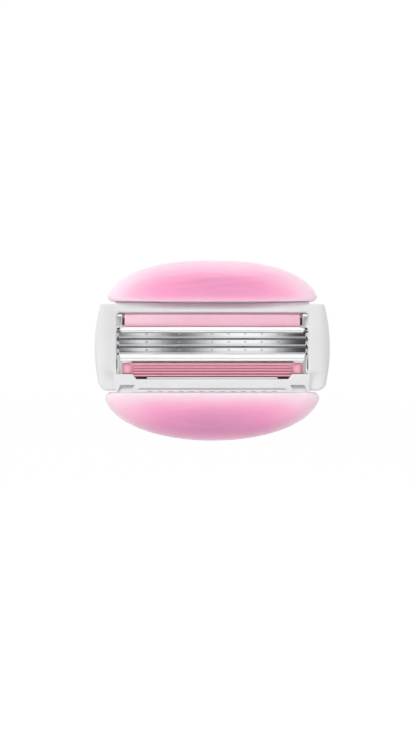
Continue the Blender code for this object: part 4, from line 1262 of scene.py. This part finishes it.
class CARTRIDGE_OT_clips(bpy.types.Operator):
    """Make the aluminium clips that keep the blades in the housing"""

    bl_idname = "cartridge.clips"
    bl_label = "Blade Clips"

    def execute(self, context):
        tone = context.scene.cartridge.blade.clip
        finish = steel_finish("bright_aluminium", tone, rough=0.30, spread=0.06, lines=0.003 * MM)
        for side in ("left", "right"):
            softened_piece(
                f"clip_{side}", f"blade_clip_{side}", "head", finish, 0.07 * MM
            )
        return {"FINISHED"}


# Strip and guard


class CARTRIDGE_OT_lubricating_strip(bpy.types.Operator):
    """Make the lubricating strip above the blades"""

    bl_idname = "cartridge.lubricating_strip"
    bl_label = "Lubricating Strip"

    def execute(self, context):
        low, high = head_box("lubricating_strip")
        # The bar shows a little lower than its CAD node
        low.z -= 0.13 * MM
        high.z -= 0.12 * MM
        reach = 16.42 * MM
        flange = block(
            (-reach, 0.42 * MM, low.z - 0.13 * MM), (reach, high.y, high.z + 0.04 * MM)
        )
        upstand = block(
            (-reach, 0.66 * MM, high.z - OVERLAP), (reach, high.y, WINDOW_TOP - 0.04 * MM)
        )
        notch = block((14.75 * MM, -MM, high.z - 0.10 * MM), (17 * MM, 0.60 * MM, high.z + MM))
        shape = carve(
            self.bar_shape(low, high, reach),
            [flange, upstand, *both(self.foot_shape(high.y - 0.02 * MM))], both(notch),
        )
        made = head_piece(
            "glide_strip", shape, "head",
            strip_finish(context.scene.cartridge.guard), ["lubricating_strip"], sharp=50,
        )
        middle, half = (low.z + high.z) / 2, (high.z - low.z) / 2
        carry(made, "strip_edge", lambda co: smooth(0.10, 1.0, (middle - co.z) / half))
        return {"FINISHED"}

    def bar_shape(self, low, high, reach):
        """The bar that shows, with a slight crown and round edges."""
        end_round, side_round, crown = mm(0.12, 0.20, 0.05)
        middle, half = (low.z + high.z) / 2, (high.z - low.z) / 2
        rings = []
        for x in eased(90, -reach, reach):
            end = rounded_drop(reach - abs(x), end_round)
            ring = []
            for z in eased(32, half, -half):
                drop = math.hypot(rounded_drop(half - abs(z), side_round), end)
                ring.append((x, low.y + drop + crown * (z / half) ** 2, middle + z))
            rings.append(ring + [(x, high.y, middle - half), (x, high.y, middle + half)])
        return loft(rings)

    def foot_shape(self, back):
        """The foot at an end of the strip, which goes down into the slot there."""
        side = mm_points((1.0, 6.06), (3.8, 6.06), (3.8, 4.07), (3.4, 4.07), (3.4, 5.5), (1.0, 5.5))
        neck = block(mm(16.0, 1.02, 5.4), (16.6 * MM, back, 6.0 * MM))
        return carve(prism(side, "x", *mm(16.46, 16.92)), [neck])


class CARTRIDGE_OT_guard_fins(bpy.types.Operator):
    """Make the soft guard: a row of fins between two smooth pads"""

    bl_idname = "cartridge.guard_fins"
    bl_label = "Guard Fins"

    def execute(self, context):
        settings = context.scene.cartridge.guard
        finish = rubber_finish(settings)
        low, high = head_box("guard_fins")
        high.z -= 0.14 * MM  # its top shows a little lower than the CAD node's
        half = high.x - 1.75 * MM
        root = low.y + settings.fin_depth
        base = head_piece(
            "guard_base", self.base_shape(settings.fin_pitch, low, high, half, root), "head",
            finish, ["guard_fins"], sharp=50,
        )
        first = HEAD + Vector((0, 0, high.z - settings.fin_pitch / 2))
        fins = repeated(
            "guard_fin_row", self.fin_shape(half + 0.3 * MM, low.y, root), settings.fin_count,
            first, (0, 0, -settings.fin_pitch), finish,
        )
        # Painted shade: the rubber of the fins and the base darkens with depth behind the fins
        for made in (base, fins):
            carry(made, "fin_height", lambda co: 1 - smooth(low.y, root, co.y))
        place_piece(fins, "head", sharp=50)
        return {"FINISHED"}

    def base_shape(self, pitch, low, high, half, root):
        """The web behind the fins and the flange below them, with a smooth pad at each end."""
        back, flange_half = high.y, 12.1 * MM
        side = [
            (root - 0.20 * MM, high.z), (back, high.z), (back, low.z), (root + 0.04 * MM, low.z)
        ]
        web = prism(side, "x", -half - OVERLAP, half + OVERLAP)
        flange = block(
            (-flange_half, 1.12 * MM, WINDOW_BOTTOM - 0.1 * MM),
            (flange_half, back - 0.02 * MM, low.z + OVERLAP),
        )
        # The lower corners are cut away past the fins
        inner, outer, step = half - 0.8 * MM, half + 2 * MM, low.z + pitch - 0.03 * MM
        foot = low.z - OVERLAP
        corner = prism(
            [(inner, foot), (outer, foot), (outer, step), (half, step), (inner, low.z)],
            "y", -MM, back + MM,
        )
        # Two plugs go down into the sill, each on a thin neck
        plug = block(mm(12.36, 2.2, -5.98), (14.24 * MM, 3.5 * MM, low.z - 0.01 * MM))
        neck = block(
            (12.40 * MM, 1.0 * MM, low.z - 0.03 * MM), (14.20 * MM, 3.45 * MM, low.z + 0.03 * MM)
        )
        pad = self.pad_shape(low, high, half, root, low.z + pitch)
        return carve(web, [flange, *both(pad), *both(neck), *both(plug)], both(corner))

    def pad_shape(self, low, high, half, root, bottom):
        """A smooth pad past the ends of the fins."""
        inner, top, depth = half - 0.6 * MM, high.z - 0.04 * MM, root - low.y
        top_corner, low_corner, end_round, low_round, top_round = mm(0.6, 0.2, 0.9, 0.6, 1.0)

        def reach(z):
            return high.x - rounded_drop(top - z, top_corner) - rounded_drop(z - bottom, low_corner)

        def front(x, z):
            drop = math.hypot(
                rounded_drop(reach(z) - x, end_round), rounded_drop(z - bottom, low_round),
                rounded_drop(top - z, top_round),
            )
            ramp = depth * (1 - smooth(inner, half + 0.7 * MM, x))
            return low.y + 0.06 * MM + min(0.7 * drop + ramp, depth)

        rows = [[(x, z) for x in eased(26, inner, reach(z))] for z in eased(22, bottom, top)]
        return slab(rows, front, lambda x, z: high.y - 0.01 * MM)

    def fin_shape(self, half, front, root):
        """One long fin with a round tip that sinks away at its ends, drawn about its own middle."""
        tip, foot, sink_run = mm(0.09, 0.20, 1.0)
        base = root + 0.05 * MM
        section = [(base, -foot)]
        section += [(front + tip + y, z) for y, z in arc((0, 0), tip, 250, 110, 8)]
        section += [(base, foot)]
        rings = []
        for x in eased(60, -half, half):
            drop = (root - front) * (1 - smooth(0, sink_run, half - abs(x)))
            rings.append([(x, min(y + drop, base), z) for y, z in section])
        return loft(rings)


# Blades


def on_blade(edge, along, behind):
    """(y, z) of a blade's section, measured up its slope from the edge and back from its middle."""
    back, up = math.sin(BLADE_TILT), math.cos(BLADE_TILT)
    return along * back + behind * up, edge + along * up - behind * back


class CARTRIDGE_OT_blades(bpy.types.Operator):
    """Make the ground steel strips, their weld spots and their supports"""

    bl_idname = "cartridge.blades"
    bl_label = "Blades"

    def execute(self, context):
        settings = context.scene.cartridge.blade
        deep = 0.002 * MM  # lines on the supports and the weld spots
        steel = steel_finish("ground_steel", settings.steel, rough=0.11)
        support = steel_finish("bent_steel", settings.support, rough=0.45, spread=0.06, lines=deep)
        weld = steel_finish("weld_steel", settings.spot, rough=0.22, spread=0.04, lines=deep)
        spot_share = 0.60  # of a strip's width, from its edge to the middle of the weld spots
        for number, edge in enumerate(BLADE_EDGES, 1):
            body = f"blade_{number}"
            head_piece(
                f"strip_{number}", self.strip_shape(settings, edge, number), body,
                steel, [f"blade_strip_{number}"], sharp=4,
            )
            front = -settings.thickness / 2 - settings.belly
            place = HEAD + Vector((0, *on_blade(edge, settings.width * spot_share, front)))
            spots = centred_row(
                f"weld_spots_{number}", self.spot_shape(), settings.spot_count,
                settings.spot_pitch, place, weld,
            )
            place_piece(spots, body, sharp=60)
            softened_piece(
                f"bent_support_{number}", f"blade_support_{number}", body,
                support, 0.05 * MM,
            )
        return {"FINISHED"}

    def strip_shape(self, settings, edge, number):
        """A strip ground on both faces, whose ground line wanders a little along its length."""
        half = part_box(f"blade_strip_{number}")[1][0]
        thin, width, chamfer, steps = settings.thickness / 2, settings.width, 0.03 * MM, 175
        front = -thin - settings.belly
        rings = []
        for k in range(steps + 1):
            x = -half + 2 * half * k / steps
            wander = math.sin(x / (1.9 * MM) + 1.7 * number)
            wander += 0.6 * math.sin(x / (0.83 * MM) + number)
            bevel = settings.bevel + settings.wave * wander / 1.6
            bend = [
                (bevel + run * MM, -thin - settings.belly * share)
                for run, share in ((0, 0), (0.20, 0.667), (0.30, 0.89), (0.40, 1))
            ]
            section = [
                (0, 0), *bend, (width - chamfer, front), (width, front + chamfer), (width, thin),
                (settings.bevel, thin),
            ]
            rings.append([(x, *on_blade(edge, settings.rise + u, v)) for u, v in section])
        return loft(rings)

    def spot_shape(self):
        """A weld spot: a low ring round a shallow crater, lying on the slope of a strip."""
        profile = mm_points(
            (0.31, -0.03), (0.30, 0.001), (0.20, 0.004), (0.12, 0.0035), (0.05, 0.002)
        )
        squash = 0.80  # a spot's height over its width
        return loft([
            [(x, *on_blade(0, squash * u, -rise)) for x, u in circle((0, 0), radius, 20)]
            for radius, rise in profile
        ])


# Stage


def aim(made, place, target):
    """Puts a lamp or camera at a place, looking at a target."""
    made.location = place
    made.rotation_euler = (Vector(target) - Vector(place)).to_track_quat("-Z", "Y").to_euler()


def soft_box(name, power, width, height, place):
    """A rectangular lamp that shines on the head, and that no camera or reflection sees."""
    data = bpy.data.lights.new(name, "AREA")
    data.energy = power
    data.shape = "RECTANGLE"
    data.size, data.size_y = width, height
    made = bpy.data.objects.new(name, data)
    bpy.context.scene.collection.objects.link(made)
    aim(made, HEAD + Vector(place), HEAD)
    made.visible_camera = False
    made.visible_glossy = False


def seen_share(tree):
    """1 where the camera, a reflection or a clear piece looks, and 0 for light that falls."""
    path = add(tree, "ShaderNodeLightPath").outputs
    seen = combined(tree, "MAXIMUM", path["Is Camera Ray"], path["Is Glossy Ray"])
    return combined(tree, "MAXIMUM", seen, path["Is Transmission Ray"])


class CARTRIDGE_OT_stage(bpy.types.Operator):
    """Set up the camera, the lamps, the floor and the white surroundings"""

    bl_idname = "cartridge.stage"
    bl_label = "Stage"

    def execute(self, context):
        settings = context.scene.cartridge.stage
        context.scene.view_settings.view_transform = "Standard"
        self.make_camera(context, settings)
        self.make_world(context, settings)
        self.make_floor(settings)
        self.make_reflector()
        key, fill = settings.key, settings.fill
        for lamp in (
            ("key_lamp", key, 0.30, 0.24, (-0.11, -0.30, 0.38)),
            ("left_lamp", fill, 0.20, 0.30, (-0.38, -0.20, 0.05)),
            ("right_lamp", fill * 0.90, 0.20, 0.30, (0.38, -0.20, 0.0)),
            ("back_lamp", fill * 1.6, 0.30, 0.20, (0.12, 0.34, 0.25)),
        ):
            soft_box(*lamp)
        return {"FINISHED"}

    def make_camera(self, context, settings):
        """The camera of the photograph, straight in front."""
        data = bpy.data.cameras.new("photo_camera")
        data.lens = settings.lens
        data.sensor_width = 36
        data.clip_start, data.clip_end = 0.01, 50
        made = bpy.data.objects.new("photo_camera", data)
        context.scene.collection.objects.link(made)
        centre = HEAD + Vector(mm(-0.9, 0, -3.69))  # what the photograph has in its middle
        aim(made, centre - Vector((0, settings.distance, 0)), centre)
        context.scene.camera = made

    def make_world(self, context, settings):
        """White surroundings that give less light than they show."""
        world = bpy.data.worlds.new("white_room")
        world.use_nodes = True
        tree = world.node_tree
        shader = tree.nodes["Background"]
        strength = span(tree, seen_share(tree), settings.ambient, 1.0)
        set_shader(tree, shader, Color=(1, 1, 1), Strength=strength)
        context.scene.world = world

    def make_floor(self, settings):
        """A wide pale floor that keeps the shadow."""
        half = 6.0
        shape = bmesh.new()
        corners = [(-half, -half), (half, -half), (half, half), (-half, half)]
        shape.faces.new([shape.verts.new((x, y, settings.floor)) for x, y in corners])
        made = work_object("studio_floor", shape)
        finish, tree, shader = new_finish("pale_floor")
        pale = settings.floor_colour
        glow, camera_glow = 0.15, 0.50  # of the floor as it is seen, and more for the camera
        camera_ray = add(tree, "ShaderNodeLightPath").outputs["Is Camera Ray"]
        set_shader(
            tree, shader,
            Base_Color=mixed(tree, varied(tree, grain(tree, 3), 0, 1), pale, toned(pale, 0.985)),
            Roughness=0.8,
            Specular_IOR_Level=0.1,
            Emission_Color=(1, 1, 1),
            Emission_Strength=combined(
                tree, "ADD", span(tree, seen_share(tree), 0.0, glow),
                span(tree, camera_ray, 0.0, camera_glow),
            ),
        )
        made.data.materials.append(finish)

    def make_reflector(self):
        """A graded card in front of the blades that only reflections see."""
        radius, half, steps = 40 * MM, 40 * MM, 12
        low, high = 16, 67  # degrees above the blades
        shape = bmesh.new()
        rows = []
        for k in range(steps + 1):
            turn = math.radians(low + (high - low) * k / steps)
            place = HEAD + Vector((0, -radius * math.cos(turn), radius * math.sin(turn)))
            rows.append([shape.verts.new((x, place.y, place.z)) for x in (-half, half)])
        for row, after in zip(rows, rows[1:]):
            shape.faces.new((row[0], row[1], after[1], after[0]))
        made = work_object("graded_card", shape)
        made.data.materials.append(self.card_finish())
        for ray in ("camera", "diffuse", "transmission", "volume_scatter", "shadow"):
            setattr(made, f"visible_{ray}", False)

    def card_finish(self):
        """Bright and dark bands along x, a fainter dark band across them, and a pale foot."""
        finish, tree, _ = new_finish("graded_card")
        axes = object_axes(tree)
        reach, stretch = 21, 1.08
        levels = (
            (-17.6, 0.28), (-12.7, 1.14), (-6.4, 0.24), (4.0, 1.44), (8.2, 1.44), (16.4, 0.07),
        )
        bands = graded(
            tree, span(tree, axes["X"], 0, 1, *mm(-reach, reach)),
            [((x * stretch + reach) / (2 * reach), (level,) * 3) for x, level in levels], "EASE",
        )

        def by_height(first, last, low, high):
            """A value that goes from first to last between two heights above the blades in mm."""
            return span(tree, axes["Z"], first, last, HEAD.z + low * MM, HEAD.z + high * MM)

        left = span(tree, axes["X"], 0.5, 0.2, *mm(-17, -9))
        dark = combined(tree, "MULTIPLY", by_height(1.0, 0.0, 23.6, 25.6), left)
        dark = combined(tree, "MULTIPLY", dark, by_height(0.2, 1.0, 18, 21.5))
        tone = mixed(tree, dark, bands, (0, 0, 0))
        tone = mixed(tree, by_height(0.6, 0.0, 17, 22), tone, (1, 1, 1))
        glow = add(tree, "ShaderNodeEmission", {"Color": tone, "Strength": 1.0})
        tree.links.new(glow.outputs[0], tree.nodes["Material Output"].inputs["Surface"])
        return finish


OPERATORS = (
    CARTRIDGE_OT_gel_bars,
    CARTRIDGE_OT_outer_frame,
    CARTRIDGE_OT_blade_housing,
    CARTRIDGE_OT_lubricating_strip,
    CARTRIDGE_OT_guard_fins,
    CARTRIDGE_OT_blades,
    CARTRIDGE_OT_clips,
    CARTRIDGE_OT_springs,
    CARTRIDGE_OT_trays,
    CARTRIDGE_OT_yoke,
    CARTRIDGE_OT_stage,
)


class CARTRIDGE_PT_sidebar(bpy.types.Panel):
    """Lists the pieces of the cartridge"""

    bl_idname = "CARTRIDGE_PT_sidebar"
    bl_label = "Razor Cartridge"
    bl_space_type = "VIEW_3D"
    bl_region_type = "UI"
    bl_category = "Cartridge"

    def draw(self, context):
        for operator in OPERATORS:
            self.layout.operator(operator.bl_idname)
        for group in CartridgeSettings.__annotations__:
            box = self.layout.box()
            settings = getattr(context.scene.cartridge, group)
            for name in settings.__annotations__:
                box.prop(settings, name)


CLASSES = (
    GelBarSettings, FrameSettings, PlasticSettings, BladeSettings, GuardSettings, StageSettings,
    CartridgeSettings, *OPERATORS, CARTRIDGE_PT_sidebar,
)


def register():
    for made in CLASSES:
        bpy.utils.register_class(made)
    bpy.types.Scene.cartridge = PointerProperty(type=CartridgeSettings)


def unregister():
    del bpy.types.Scene.cartridge
    for made in reversed(CLASSES):
        bpy.utils.unregister_class(made)


def main():
    register()
    for operator in OPERATORS:
        group, name = operator.bl_idname.split(".")
        getattr(getattr(bpy.ops, group), name)()


if __name__ == "__main__":
    main()
